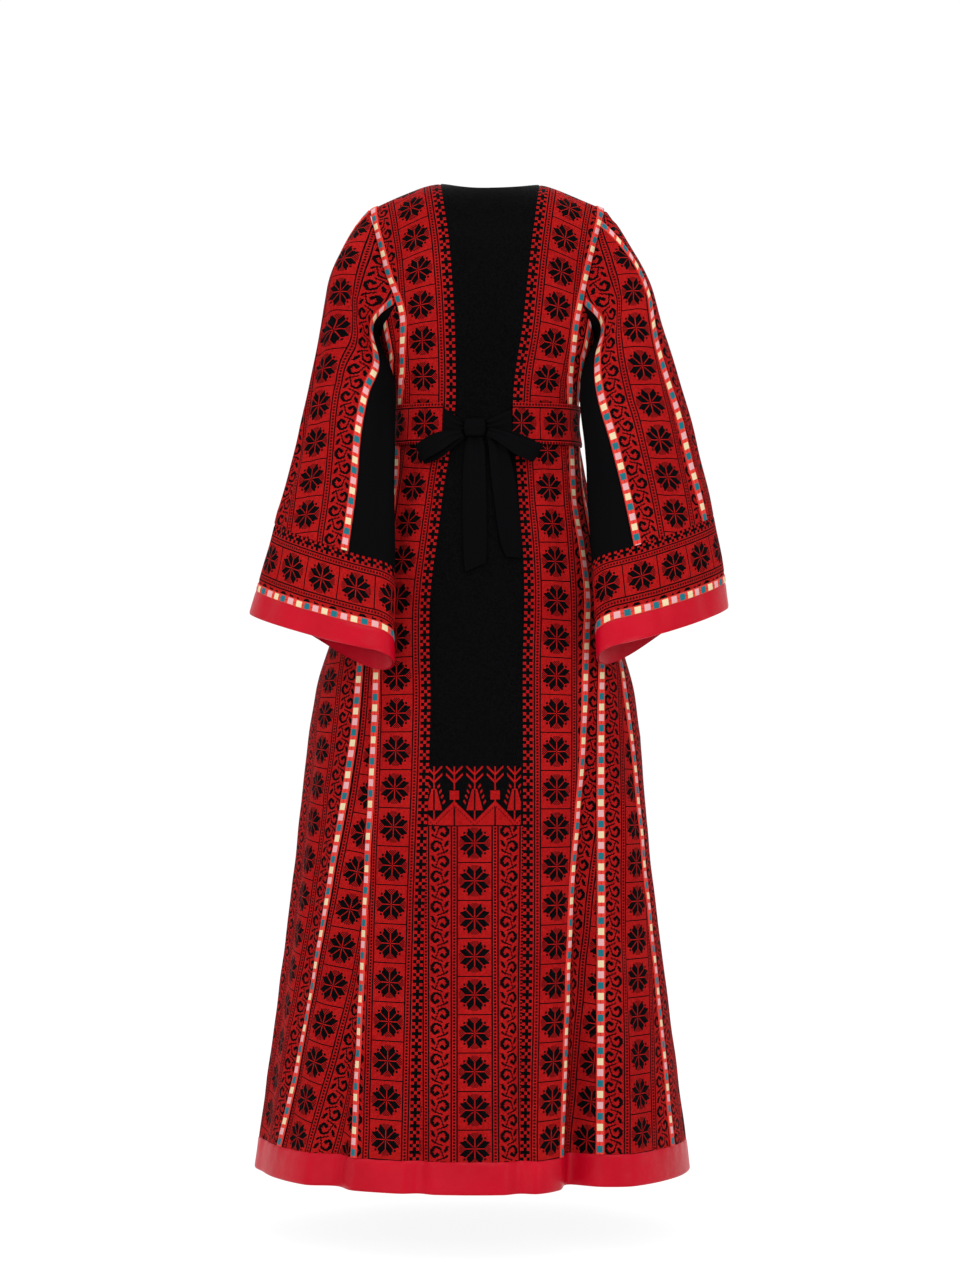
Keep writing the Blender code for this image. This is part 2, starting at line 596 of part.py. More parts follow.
def ribbon(name, table, material, thickness=CLOTH, columns=4):
    """A ribbon over the dress's back, through a table of places along its middle."""
    rows = {field: np.array([getattr(row, field) for row in table], float) for field in Ribbon._fields}
    lean = np.radians(rows["lean"])[:, None]
    out = rows["width"][:, None] * np.linspace(-0.5, 0.5, columns)
    x = rows["x"][:, None] + out * np.cos(lean)
    z = rows["z"][:, None] + out * np.sin(lean)
    middle = on_back(x, z, rows["lift"][:, None] + 0 * x)
    along, wide = np.gradient(middle, axis=0), np.gradient(middle, axis=1)
    out = unit(np.cross(along, wide))
    wall(name, middle + out * thickness / 2, middle - out * thickness / 2, material)


def knot(material):
    """The bow's knot, a soft block with hollowed sides."""
    rows, columns = 7, 14
    points = []
    for j in range(rows):
        up = -1 + 2 * j / (rows - 1)
        swell = 0.80 + 0.20 * math.cos(up * math.pi / 2)
        ring = []
        for i in range(columns):
            t = 2 * math.pi * i / columns
            c, s = math.cos(t), math.sin(t)
            ring.append((
                KNOT.width / 2 * swell * math.copysign(abs(c) ** 0.7, c),
                KNOT_DEPTH / 2 * swell * math.copysign(abs(s) ** 0.7, s),
                KNOT_HEIGHT / 2 * up,
            ))
        points.append(ring)
    centre = on_back(np.array(KNOT.x), np.array(KNOT.z), np.array(KNOT.lift + KNOT_DEPTH / 2))
    corners = np.array(points).reshape(-1, 3) + centre
    faces = []
    for j in range(rows - 1):
        for i in range(columns):
            a, b = j * columns + i, j * columns + (i + 1) % columns
            faces += [(a, b, b + columns), (a, b + columns, a + columns)]
    faces += [tuple(range(columns)), tuple(range((rows - 1) * columns, rows * columns))]
    finish_mesh("bow_knot", corners, faces, material)


def belt(cloth, black):
    """The belt, from one end round the front to the other, then the tied bow over the gap."""
    levels = np.array(BELT_LEVELS)
    width, fullness = (np.interp(levels, LEVELS, OVAL[name]) for name in ("width", "fullness"))
    first = oval_turn(np.full_like(levels, BELT_ENDS[0]), width, fullness)
    last = 360 - oval_turn(np.full_like(levels, -BELT_ENDS[1]), width, fullness)
    turns = across(lambda t: body(t, levels[:, None]), first, last, 44, gaps=(0, 0))
    outer, inner, _ = body_grid(turns, levels[:, None] + 0 * turns, BELT_CLOTH, BELT_LIFT + BELT_CLOTH)
    wall("belt_band", outer, inner, cloth)
    knot(black)
    for word in ("left", "right"):
        ribbon(f"belt_strap_{word}", STRAPS[word], black)
        ribbon(f"bow_loop_{word}", LOOPS[word], black)
        ribbon(f"bow_tail_{word}", TAILS[word], black)


def hem_bands(satin):
    """The hem band's two halves, with columns where the panels over them have theirs."""
    panels = np.sort(np.mod(np.concatenate(HEM_TURNS) + 90, 360))
    columns = [panels[0]]
    for turn in panels[1:]:
        if turn - columns[-1] < 0.5:
            columns[-1] = (turn + columns[-1]) / 2
        else:
            columns.append(turn)
    columns = np.array(columns) - 90
    for word, first, last in (("back", -90.0, 90.0), ("front", 90.0, 270.0)):
        inside = columns[(columns > first + 0.5) & (columns < last - 0.5)]
        turns = np.concatenate([[first + 0.04], inside, [last - 0.04]])
        outer, inner, _ = body_grid(turns[None, :], np.array([[HEM], [HEM + HEM_BAND]]))
        wall(f"hem_band_{word}", outer, inner, satin)


def make_material(name, colour, roughness):
    material = bpy.data.materials.new(name)
    material.use_nodes = True
    shader = material.node_tree.nodes["Principled BSDF"]
    shader.inputs["Base Color"].default_value = (*colour, 1)
    shader.inputs["Roughness"].default_value = roughness
    material.diffuse_color = (*colour, 1)
    return material


def main():
    for item in list(bpy.data.objects):
        bpy.data.objects.remove(item, do_unlink=True)
    black = make_material("crepe", BLACK, 0.8)
    cloth = make_material("embroidery", RED, 0.85)
    satin = make_material("satin", (0.55, 0.004, 0.02), 0.35)
    make_material("tape", (0.75, 0.55, 0.45), 0.7)

    centre_panel("back_centre_panel", "centre", 0.0, 4, black, back_neck)
    centre_panel("front_centre_panel", "chest", 180.0, 4, black, front_neck, slit=SLIT_HALF)
    for side, word in ((1, "left"), (-1, "right")):
        body_panel(f"back_side_panel_{word}", side, "centre", "back", 4, cloth,
                   {"last": f"back_tape_{word}"}, high=True)
        body_panel(f"back_gore_{word}", side, "back", "gore", 6 if side > 0 else 10, cloth)
        body_panel(f"side_panel_{word}", side, "gore", "side", 5, cloth,
                   {"first": f"gore_tape_{word}", "last": f"side_tape_{word}"})
        body_panel(f"front_gore_{word}", side, "side", "front", 7, cloth)
        body_panel(f"front_side_panel_{word}", side, "front", "chest", 4, cloth,
                   {"first": f"front_tape_{word}"}, high=True)
        foot = sleeve_panels(side, word, cloth, black)
        cuffs(side, word, foot, cloth, satin)
    hem_bands(satin)
    belt(cloth, black)


main()
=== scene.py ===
"""Looks of a long embroidered thobe: every cloth wall as a fine shell on its solid, and its materials.

Metres, +Z up, back +Y. Tables and surfaces repeat part.py's, so each piece lies on its solid.
A place on the dress is a turn in degrees (0 centre back, 90 its left side, 180 centre front) and a
level; a place on a sleeve is a turn and a share of its length. UVs count cross stitches.
"""

import math
from collections import namedtuple

import bpy
import numpy as np
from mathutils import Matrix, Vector


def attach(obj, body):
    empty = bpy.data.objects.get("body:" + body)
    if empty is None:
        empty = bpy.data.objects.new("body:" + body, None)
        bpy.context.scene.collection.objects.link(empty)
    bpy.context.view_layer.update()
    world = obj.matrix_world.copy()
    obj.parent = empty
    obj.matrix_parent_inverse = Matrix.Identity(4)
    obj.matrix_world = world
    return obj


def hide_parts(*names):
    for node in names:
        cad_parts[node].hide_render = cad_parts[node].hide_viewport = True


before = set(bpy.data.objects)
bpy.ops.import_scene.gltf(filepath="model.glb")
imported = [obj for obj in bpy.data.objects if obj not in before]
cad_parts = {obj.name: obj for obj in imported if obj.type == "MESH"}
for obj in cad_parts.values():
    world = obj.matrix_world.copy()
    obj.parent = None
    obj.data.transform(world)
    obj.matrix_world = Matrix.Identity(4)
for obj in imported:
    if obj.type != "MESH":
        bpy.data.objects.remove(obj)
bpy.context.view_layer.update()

# Driving dimensions, as in part.py
HEM = -1.375
HEM_BAND = 0.043
TAPE_WIDTH = 0.0120
TAPE_EDGE = 0.0010
SEAM = 0.0004
SHOULDER_ROUND = 0.050
SHOULDER_SLOPE = 0.44
SLOPE_START = 0.080
WAIST = -0.330
BELT_LEVELS = (-0.371, -0.341, -0.313)
BELT_LIFT = 0.0028
BELT_CLOTH = 0.0022
BELT_ENDS = (0.0578, -0.0372)
ARMHOLE_CORNER = -0.165
ARMHOLE_BOTTOM = -0.205
UNDERARM = 128.0
NECK_BACK = -0.012
NECK_FRONT = -0.085
NECK_SLIT = -0.225
SLIT_HALF = 0.0035
CUFF_BAND = 0.085
CUFF_SATIN = 0.032
CUFF_FACING = 0.105
CUFF_SAG = 0.034
CUFF_SAG_TURN = 238.0
ARMHOLE_BLEND = 0.24
SLEEVE_ROUND = 0.0050
FRONT_SHARE = 0.60
CUFF_START = 0.80
WAIST_ROW, TOP_ROW = -0.307, ARMHOLE_CORNER
LAST_FLAT_ROW = -0.056

# The sleeves lie closer to the dress here than in part.py, whose solids stand apart.
SLEEVE_CLEAR = 0.0012
STITCH = 0.00145
SHELL = 0.0011
COLUMN, ROW = 0.0055, 0.0075
EDGE_COLUMN, GROOVE_COLUMN = 0.003, 0.0012
GROOVE_DEPTH, GROOVE_WIDTH = 0.0009, 0.0022
TREE_BASE = -0.8904
TAPE_PITCH = 0.0146


def rows_of(kind, *rows):
    return tuple(kind(*row) for row in rows)


Section = namedtuple("Section", "level width back front shift fullness")
SECTIONS = rows_of(
    Section,
    (0.000, 0.1650, 0.060, 0.050, 0.0000, 0.10),
    (-0.050, 0.1630, 0.070, 0.056, 0.0000, 0.10),
    (-0.100, 0.1580, 0.088, 0.078, 0.0000, 0.10),
    (-0.160, 0.1520, 0.098, 0.104, 0.0000, 0.10),
    (-0.205, 0.1490, 0.100, 0.116, 0.0000, 0.10),
    (-0.260, 0.1385, 0.094, 0.102, 0.0010, 0.08),
    (-0.330, 0.1275, 0.088, 0.090, 0.0025, 0.08),
    (-0.400, 0.1375, 0.100, 0.098, 0.0040, 0.07),
    (-0.480, 0.1580, 0.122, 0.111, 0.0070, 0.05),
    (-0.600, 0.1890, 0.142, 0.124, 0.0140, 0.04),
    (-0.720, 0.2243, 0.163, 0.142, 0.0168, 0.03),
    (-1.000, 0.2565, 0.208, 0.188, 0.0170, 0.02),
    (-1.375, 0.3015, 0.260, 0.238, 0.0165, 0.02),
)
Seams = namedtuple("Seams", "level centre back gore side front chest")
LEFT_SEAMS = rows_of(
    Seams,
    (0.000, 0.0650, 0.1645, 0.1645, 90.0, 0.1645, 0.0650),
    (-0.100, 0.0515, 0.1440, 0.1480, 92.0, 0.1440, 0.0560),
    (-0.200, 0.0450, 0.1210, 0.1350, 98.0, 0.1240, 0.0480),
    (-0.310, 0.0415, 0.1215, 0.1265, 104.0, 0.1150, 0.0430),
    (-0.440, 0.0555, 0.1280, 0.1390, 104.0, 0.1280, 0.0500),
    (-0.600, 0.0650, 0.1380, 0.1490, 104.0, 0.1380, 0.0580),
    (-0.720, 0.0605, 0.1420, 0.1550, 104.0, 0.1440, 0.0600),
    (-1.000, 0.0680, 0.1555, 0.1970, 104.0, 0.1520, 0.0620),
    (-1.375, 0.0770, 0.1700, 0.2730, 104.0, 0.1600, 0.0660),
)
RIGHT_SEAMS = rows_of(
    Seams,
    (0.000, 0.0735, 0.1645, 0.1645, 90.0, 0.1645, 0.0735),
    (-0.100, 0.0605, 0.1440, 0.1480, 92.0, 0.1440, 0.0560),
    (-0.200, 0.0500, 0.1275, 0.1370, 96.0, 0.1240, 0.0480),
    (-0.310, 0.0380, 0.1200, 0.1255, 98.0, 0.1150, 0.0430),
    (-0.440, 0.0485, 0.1300, 0.1375, 96.0, 0.1280, 0.0500),
    (-0.600, 0.0650, 0.1560, 0.1680, 82.0, 0.1380, 0.0580),
    (-0.720, 0.0655, 0.1575, 0.1700, 70.0, 0.1440, 0.0600),
    (-1.000, 0.0660, 0.1400, 0.1740, 69.5, 0.1520, 0.0620),
    (-1.375, 0.0615, 0.1275, 0.1770, 66.0, 0.1600, 0.0660),
)
Fold = namedtuple("Fold", "side first second share reach depth start")
FOLDS = rows_of(
    Fold,
    (-1, "back", "gore", 0.50, 16.0, 0.036, -0.60),
    (-1, "back", "gore", 0.50, 7.0, 0.026, -0.66),
    (1, "back", "gore", 0.22, 9.0, 0.020, -0.62),
    (-1, "centre", "back", 0.00, 4.5, 0.009, -0.70),
    (1, "centre", "back", 0.00, 4.5, 0.008, -0.78),
    (1, "gore", "side", 0.55, 10.0, -0.006, -0.70),
    (-1, "side", "front", 0.35, 14.0, 0.012, -0.64),
    (1, "side", "front", 0.30, 12.0, 0.014, -0.60),
    (1, "side", "front", 0.85, 9.0, 0.022, -0.62),
    (-1, "side", "front", 0.82, 10.0, 0.025, -0.60),
    (1, "front", "chest", 0.95, 6.0, 0.010, -0.72),
    (-1, "front", "chest", 0.90, 6.0, 0.008, -0.66),
)
Ring = namedtuple("Ring", "along out_x out_y out_z in_x in_y in_z depth outer back front")
LEFT_RINGS = rows_of(
    Ring,
    (0.00, 0.1650, 0.000, -0.036, 0.1490, 0.000, -0.205, 0.066, -6, 128, 232),
    (0.10, 0.1940, 0.000, -0.075, 0.1500, 0.012, -0.218, 0.061, -6, 140, 250),
    (0.20, 0.2125, 0.001, -0.125, 0.1360, 0.040, -0.255, 0.056, -6, 156, 262),
    (0.35, 0.2280, 0.008, -0.205, 0.1265, 0.070, -0.315, 0.047, -6, 133, 264),
    (0.50, 0.2450, 0.020, -0.290, 0.1265, 0.102, -0.380, 0.045, -6, 126, 262),
    (0.65, 0.2650, 0.032, -0.375, 0.1265, 0.122, -0.450, 0.043, -6, 123.5, 258),
    (0.80, 0.2855, 0.045, -0.460, 0.1260, 0.148, -0.525, 0.045, -6, 120.5, 256),
    (0.90, 0.3035, 0.056, -0.530, 0.1260, 0.170, -0.592, 0.048, -6, 119, 256),
    (1.00, 0.3235, 0.068, -0.602, 0.1265, 0.194, -0.656, 0.052, -6, 119, 256),
)
RIGHT_RINGS = rows_of(
    Ring,
    (0.00, 0.1650, 0.000, -0.036, 0.1490, 0.000, -0.205, 0.066, 14, 128, 232),
    (0.10, 0.2000, 0.000, -0.083, 0.1500, 0.012, -0.218, 0.061, 30, 140, 248),
    (0.20, 0.2195, 0.001, -0.132, 0.1360, 0.040, -0.255, 0.055, 45, 156, 262),
    (0.35, 0.2455, 0.004, -0.215, 0.1290, 0.068, -0.315, 0.047, 52, 147, 268),
    (0.50, 0.2730, 0.008, -0.303, 0.1355, 0.092, -0.380, 0.045, 50, 139, 270),
    (0.65, 0.2925, 0.012, -0.380, 0.1390, 0.110, -0.450, 0.046, 49, 131, 270),
    (0.80, 0.3090, 0.018, -0.455, 0.1430, 0.132, -0.520, 0.048, 47, 127, 276),
    (0.90, 0.3205, 0.024, -0.520, 0.1465, 0.150, -0.580, 0.050, 46, 125, 279),
    (1.00, 0.3290, 0.030, -0.592, 0.1500, 0.170, -0.649, 0.053, 46, 125, 280),
)
Ribbon = namedtuple("Ribbon", "x z lift width lean")
KNOT = Ribbon(0.0165, -0.3495, 0.0019, 0.031, 0)
KNOT_HEIGHT, KNOT_DEPTH = 0.025, 0.013
RIBBONS = {
    "belt_strap_left": rows_of(
        Ribbon,
        (0.0327, -0.3480, 0.0034, 0.019, 88),
        (0.0450, -0.3440, 0.0030, 0.028, 90),
        (0.0602, -0.3420, 0.0032, 0.044, 91),
    ),
    "belt_strap_right": rows_of(
        Ribbon,
        (0.0003, -0.3480, 0.0034, 0.019, 92),
        (-0.0160, -0.3440, 0.0030, 0.028, 90),
        (-0.0336, -0.3440, 0.0030, 0.042, 89),
    ),
    "bow_loop_left": rows_of(
        Ribbon,
        (0.0334, -0.3590, 0.0085, 0.013, 62),
        (0.0480, -0.3650, 0.0072, 0.023, 62),
        (0.0640, -0.3750, 0.0065, 0.029, 64),
        (0.0800, -0.3850, 0.0072, 0.027, 66),
        (0.0865, -0.3890, 0.0120, 0.024, 66),
        (0.0830, -0.3850, 0.0165, 0.024, 64),
        (0.0650, -0.3730, 0.0170, 0.026, 62),
        (0.0480, -0.3630, 0.0145, 0.019, 62),
        (0.0334, -0.3575, 0.0120, 0.012, 64),
    ),
    "bow_loop_right": rows_of(
        Ribbon,
        (-0.0010, -0.3550, 0.0085, 0.012, 112),
        (-0.0190, -0.3600, 0.0090, 0.018, 112),
        (-0.0400, -0.3700, 0.0085, 0.024, 112),
        (-0.0580, -0.3810, 0.0090, 0.027, 114),
        (-0.0650, -0.3860, 0.0140, 0.027, 116),
        (-0.0600, -0.3870, 0.0200, 0.027, 118),
        (-0.0400, -0.3790, 0.0200, 0.024, 116),
        (-0.0190, -0.3650, 0.0160, 0.018, 112),
        (-0.0010, -0.3565, 0.0122, 0.012, 112),
    ),
    "bow_tail_left": rows_of(
        Ribbon,
        (0.0165, -0.3625, 0.0040, 0.021, 0),
        (0.0170, -0.3800, 0.0048, 0.027, 0),
        (0.0175, -0.4200, 0.0040, 0.031, 0),
        (0.0170, -0.4700, 0.0040, 0.032, 0),
        (0.0165, -0.5150, 0.0045, 0.031, -6),
        (0.0160, -0.5420, 0.0050, 0.030, -24),
    ),
    "bow_tail_right": rows_of(
        Ribbon,
        (-0.0052, -0.3594, 0.0050, 0.014, 14),
        (-0.0140, -0.3770, 0.0078, 0.025, 10),
        (-0.0205, -0.4150, 0.0062, 0.031, 6),
        (-0.0270, -0.4700, 0.0045, 0.031, 6),
        (-0.0320, -0.5100, 0.0045, 0.028, 5),
        (-0.0345, -0.5280, 0.0050, 0.018, 4),
    ),
}

# Soft creases: from one place to another, with the width and depth of the trough.
Crease = namedtuple("Crease", "turn level turn_end level_end width depth")
BODY_CREASES = rows_of(
    Crease,
    (-1, -0.165, -2, -0.308, 0.010, 0.0024),
    (9, -0.090, 5, -0.220, 0.022, 0.0016),
    (-12, -0.120, -8, -0.235, 0.020, 0.0014),
    (66, -0.262, 36, -0.284, 0.0065, 0.0026),
    (62, -0.284, 42, -0.300, 0.0055, 0.0020),
    (70, -0.236, 50, -0.262, 0.009, 0.0018),
    (-64, -0.268, -38, -0.290, 0.007, 0.0020),
    (-58, -0.292, -42, -0.301, 0.006, 0.0014),
    (-70, -0.236, -54, -0.260, 0.009, 0.0016),
    (24, -0.240, 20, -0.306, 0.009, 0.0014),
    (-24, -0.246, -19, -0.306, 0.009, 0.0014),
    (84, -0.245, 80, -0.305, 0.010, 0.0020),
    (-86, -0.240, -80, -0.305, 0.010, 0.0020),
    (112, -0.240, 108, -0.306, 0.011, 0.0022),
    (-110, -0.246, -106, -0.306, 0.011, 0.0020),
    (140, -0.225, 150, -0.306, 0.013, 0.0026),
    (-138, -0.230, -151, -0.306, 0.013, 0.0024),
    (166, -0.240, 172, -0.306, 0.011, 0.0018),
    (-164, -0.235, -171, -0.306, 0.011, 0.0020),
    (128, -0.262, 104, -0.282, 0.008, 0.0018),
    (-126, -0.266, -102, -0.286, 0.008, 0.0018),
    (14, -0.378, 12, -0.500, 0.012, 0.0022),
    (31, -0.376, 27, -0.470, 0.009, 0.0022),
    (44, -0.377, 42, -0.560, 0.014, 0.0030),
    (60, -0.377, 56, -0.480, 0.010, 0.0026),
    (78, -0.377, 74, -0.600, 0.016, 0.0036),
    (98, -0.377, 100, -0.500, 0.012, 0.0026),
    (-13, -0.378, -13, -0.520, 0.012, 0.0022),
    (-30, -0.376, -26, -0.480, 0.009, 0.0024),
    (-43, -0.377, -40, -0.600, 0.014, 0.0032),
    (-60, -0.377, -54, -0.500, 0.011, 0.0028),
    (-80, -0.377, -72, -0.580, 0.015, 0.0034),
    (-100, -0.377, -100, -0.490, 0.012, 0.0026),
    (122, -0.377, 120, -0.520, 0.013, 0.0028),
    (-121, -0.377, -118, -0.540, 0.013, 0.0030),
    (146, -0.377, 142, -0.480, 0.010, 0.0024),
    (-144, -0.377, -141, -0.470, 0.010, 0.0022),
    (169, -0.377, 168, -0.560, 0.014, 0.0026),
    (-166, -0.377, -167, -0.530, 0.013, 0.0024),
    (26, -0.560, 15, -0.780, 0.020, 0.0024),
    (-23, -0.580, -12, -0.760, 0.018, 0.0022),
    (7, -0.820, 8, -1.330, 0.018, 0.0030),
    (-12.2, -0.760, -12.4, -1.345, 0.011, 0.0046),
    (-5, -0.900, -4, -1.345, 0.020, 0.0024),
    (24, -0.860, 24, -1.345, 0.022, 0.0034),
    (-20, -0.840, -19, -1.345, 0.017, 0.0030),
    (58, -0.860, 60, -1.345, 0.026, 0.0050),
    (74, -0.760, 80, -1.345, 0.030, 0.0060),
    (-52, -0.900, -54, -1.345, 0.024, 0.0050),
    (-84, -0.780, -88, -1.345, 0.030, 0.0060),
    (96, -0.860, 98, -1.345, 0.028, 0.0056),
    (118, -0.640, 120, -1.080, 0.026, 0.0040),
    (-112, -0.700, -114, -1.345, 0.028, 0.0054),
    (-140, -0.640, -142, -1.200, 0.022, 0.0036),
    (146, -0.700, 148, -1.345, 0.022, 0.0040),
    (172, -0.760, 174, -1.345, 0.024, 0.0036),
    (-170, -0.820, -171, -1.345, 0.022, 0.0034),
    (-158, -0.600, -166, -0.800, 0.020, 0.0022),
    (154, -0.580, 164, -0.790, 0.020, 0.0024),
)
SLEEVE_CREASES = {
    1: rows_of(
        Crease,
        (47, 0.26, 40, 0.86, 0.013, 0.0050),
        (68, 0.40, 66, 0.78, 0.012, 0.0024),
        (18, 0.30, 14, 0.80, 0.014, 0.0024),
        (118, 0.06, 80, 0.24, 0.010, 0.0034),
        (120, 0.14, 84, 0.30, 0.009, 0.0028),
        (98, 0.04, 62, 0.13, 0.012, 0.0024),
        (112, 0.36, 74, 0.43, 0.010, 0.0022),
        (110, 0.48, 108, 0.84, 0.014, 0.0024),
        (160, 0.30, 150, 0.80, 0.016, 0.0028),
        (200, 0.26, 204, 0.78, 0.014, 0.0026),
        (246, 0.08, 286, 0.22, 0.010, 0.0030),
        (250, 0.20, 292, 0.32, 0.010, 0.0026),
        (300, 0.34, 300, 0.84, 0.015, 0.0036),
        (330, 0.24, 326, 0.72, 0.014, 0.0024),
        (270, 0.46, 268, 0.86, 0.014, 0.0028),
        (58, 0.86, 58, 1.00, 0.018, 0.0022),
        (86, 0.90, 84, 1.00, 0.014, 0.0020),
        (300, 0.88, 298, 1.00, 0.018, 0.0024),
    ),
    -1: rows_of(
        Crease,
        (58, 0.22, 60, 0.80, 0.012, 0.0030),
        (92, 0.32, 88, 0.84, 0.012, 0.0028),
        (34, 0.30, 34, 0.76, 0.014, 0.0020),
        (120, 0.05, 84, 0.20, 0.010, 0.0036),
        (126, 0.14, 88, 0.27, 0.009, 0.0030),
        (104, 0.03, 66, 0.11, 0.011, 0.0026),
        (120, 0.38, 90, 0.46, 0.010, 0.0020),
        (124, 0.50, 122, 0.86, 0.014, 0.0026),
        (168, 0.30, 160, 0.80, 0.016, 0.0028),
        (212, 0.28, 216, 0.80, 0.014, 0.0026),
        (248, 0.08, 288, 0.22, 0.010, 0.0030),
        (254, 0.20, 296, 0.34, 0.010, 0.0026),
        (304, 0.30, 304, 0.84, 0.015, 0.0034),
        (338, 0.24, 334, 0.74, 0.014, 0.0026),
        (278, 0.48, 276, 0.88, 0.014, 0.0028),
        (70, 0.88, 70, 1.00, 0.018, 0.0022),
        (112, 0.90, 110, 1.00, 0.014, 0.0022),
        (306, 0.88, 304, 1.00, 0.018, 0.0024),
    ),
}

# One scroll of the scrolling border, charted in stitches: the next one is its mirror image.
SCROLL = (
    "...#####.......###",
    "..########....###.",
    ".####..####...###.",
    "####.....##..####.",
    "####......#..###..",
    "###.......##.##...",
    "####..##...#......",
    "####.####..#......",
    ".########..##..##.",
    "..######....#.###.",
    "...###......####..",
    "..........####....",
    ".......####.......",
    "......##..........",
)


def smooth_step(x):
    x = np.clip(x, 0, 1)
    return x * x * (3 - 2 * x)


def curve(table, column, at):
    """A column's values between the rows of a table, on a smooth curve that never overshoots them."""
    rows = sorted(table)
    x = np.array([row[0] for row in rows])
    y = np.array([getattr(row, column) for row in rows], float)
    slope = np.diff(y) / np.diff(x)
    before, after = slope[:-1], slope[1:]
    same = before * after > 0
    tangent = np.concatenate([slope[:1], np.zeros(len(x) - 2), slope[-1:]])
    tangent[1:-1][same] = (2 * before * after)[same] / (before + after)[same]
    at = np.clip(at, x[0], x[-1])
    i = np.clip(np.searchsorted(x, at) - 1, 0, len(x) - 2)
    span = x[i + 1] - x[i]
    t = (at - x[i]) / span
    ends = y[i] * (1 + 2 * t) * (1 - t) ** 2 + y[i + 1] * t * t * (3 - 2 * t)
    return ends + span * (tangent[i] * t * (1 - t) ** 2 - tangent[i + 1] * t * t * (1 - t))


LEVELS = np.linspace(HEM, 0.0, 1376)
OVAL = {name: curve(SECTIONS, name, LEVELS) for name in Section._fields[1:]}


def oval_at(level, *names):
    return [np.interp(level, LEVELS, OVAL[name]) for name in names]


def oval_turn(offset, width, fullness):
    low, high = np.zeros_like(width), np.full_like(width, np.pi / 2)
    for _ in range(30):
        middle = (low + high) / 2
        inside = np.sin(middle) * (1 + fullness * np.cos(middle) ** 2) * width < offset
        low, high = np.where(inside, middle, low), np.where(inside, high, middle)
    return np.degrees(low)


def seam_turns(table):
    turns = {name: oval_turn(curve(table, name, LEVELS), OVAL["width"], OVAL["fullness"])
             for name in ("centre", "back", "gore", "front", "chest")}
    turns["side"] = curve(table, "side", LEVELS)
    for name in ("front", "chest"):
        turns[name] = 180 - turns[name]
    return turns


SEAM_TURNS = {1: seam_turns(LEFT_SEAMS), -1: seam_turns(RIGHT_SEAMS)}


def seam(side, name, level):
    return np.interp(level, LEVELS, SEAM_TURNS[side][name])


def body(turn, level):
    """Points on the dress's outer face."""
    turn, level = np.broadcast_arrays(np.asarray(turn, float), np.asarray(level, float))
    width, back, front, shift, fullness = oval_at(level, *Section._fields[1:])
    t = np.radians(turn)
    across = np.sin(t) * (1 + fullness * np.cos(t) ** 2)
    along = np.cos(t) * (1 + fullness * np.sin(t) ** 2)
    rounding = np.clip(1 + level / SHOULDER_ROUND, 0, 1)
    depth = np.where(along > 0, back, front) * np.sqrt(1 - rounding**2)
    x, y = width * across, depth * along

    pull = np.zeros_like(x)
    around = np.mod(turn, 360)
    side = np.where(around <= 180, 1, -1)
    away = np.minimum(around, 360 - around)
    for fold in FOLDS:
        first, second = seam(fold.side, fold.first, level), seam(fold.side, fold.second, level)
        off = np.abs(away - first - (second - first) * fold.share) / fold.reach
        grown = np.clip((fold.start - level) / (fold.start - HEM), 0, 1) ** 1.15
        shape = np.cos(np.clip(off, 0, 1) * np.pi / 2) ** 2
        pull += np.where(side == fold.side, fold.depth * grown * shape, 0)
    out_x, out_y = across / width, along / np.maximum(depth, 1e-4)
    length = np.hypot(out_x, out_y)
    x, y = x - pull * out_x / length, y - pull * out_y / length

    beyond = np.abs(x) - SLOPE_START
    drop = SHOULDER_SLOPE * (beyond + np.sqrt(beyond**2 + 0.0004)) / 2
    drop *= 1 - smooth_step(level / WAIST)
    y = y + SEAM / 2 * np.where(along > 0, 1, -1) * rounding
    return np.stack([x + shift, y, level - drop], axis=-1)


def unit(vectors):
    return vectors / np.maximum(np.linalg.norm(vectors, axis=-1, keepdims=True), 1e-12)


def body_normals(turn, level):
    turn, level = np.broadcast_arrays(np.asarray(turn, float), np.asarray(level, float))
    around = body(turn + 0.6, level) - body(turn - 0.6, level)
    up = body(turn, np.minimum(level + 0.002, 0.0)) - body(turn, level - 0.002)
    out = np.cross(up, around)
    out[..., 1] *= level < -1e-6
    return unit(out)


def armhole_floor(side, turn):
    back, front = seam(side, "back", ARMHOLE_CORNER), seam(side, "front", ARMHOLE_CORNER)
    share = np.where(turn < 90, (90 - turn) / (90 - back), (turn - 90) / (front - 90))
    return ARMHOLE_BOTTOM + (ARMHOLE_CORNER - ARMHOLE_BOTTOM) * np.clip(share, 0, 1) ** 2


def armhole(side, turn):
    around = np.mod(turn, 360)
    at_front = around > 180
    around = np.minimum(around, 360 - around)
    level = ARMHOLE_CORNER * np.clip(around / UNDERARM, 0, 1)
    edge = np.where(at_front, seam(side, "front", level), seam(side, "back", level))
    under = np.clip((around - UNDERARM) / (180 - UNDERARM), 0, 1)
    place = edge + (90 - edge) * under
    return side * place, np.where(under > 0, armhole_floor(side, place), level)


def clear_of_dress(points, side, along):
    """Sleeve points moved sideways off the dress where they would touch it."""
    low, high = np.zeros_like(along), np.full_like(along, 180.0)
    level = np.minimum(points[..., 2], 0.0)
    for _ in range(16):
        middle = (low + high) / 2
        at = body(side * middle, level)
        level = np.minimum(level + points[..., 2] - at[..., 2], 0.0)
        behind = at[..., 1] > points[..., 1]
        low, high = np.where(behind, middle, low), np.where(behind, high, middle)
    fade = smooth_step(along / ARMHOLE_BLEND)
    beside = body(side * (low + high) / 2, level)
    gap = side * (points[..., 0] - beside[..., 0]) - SLEEVE_CLEAR * fade
    round_off = SLEEVE_ROUND * fade
    points[..., 0] += side * (np.sqrt(gap**2 + round_off**2) - gap) / 2
    return points


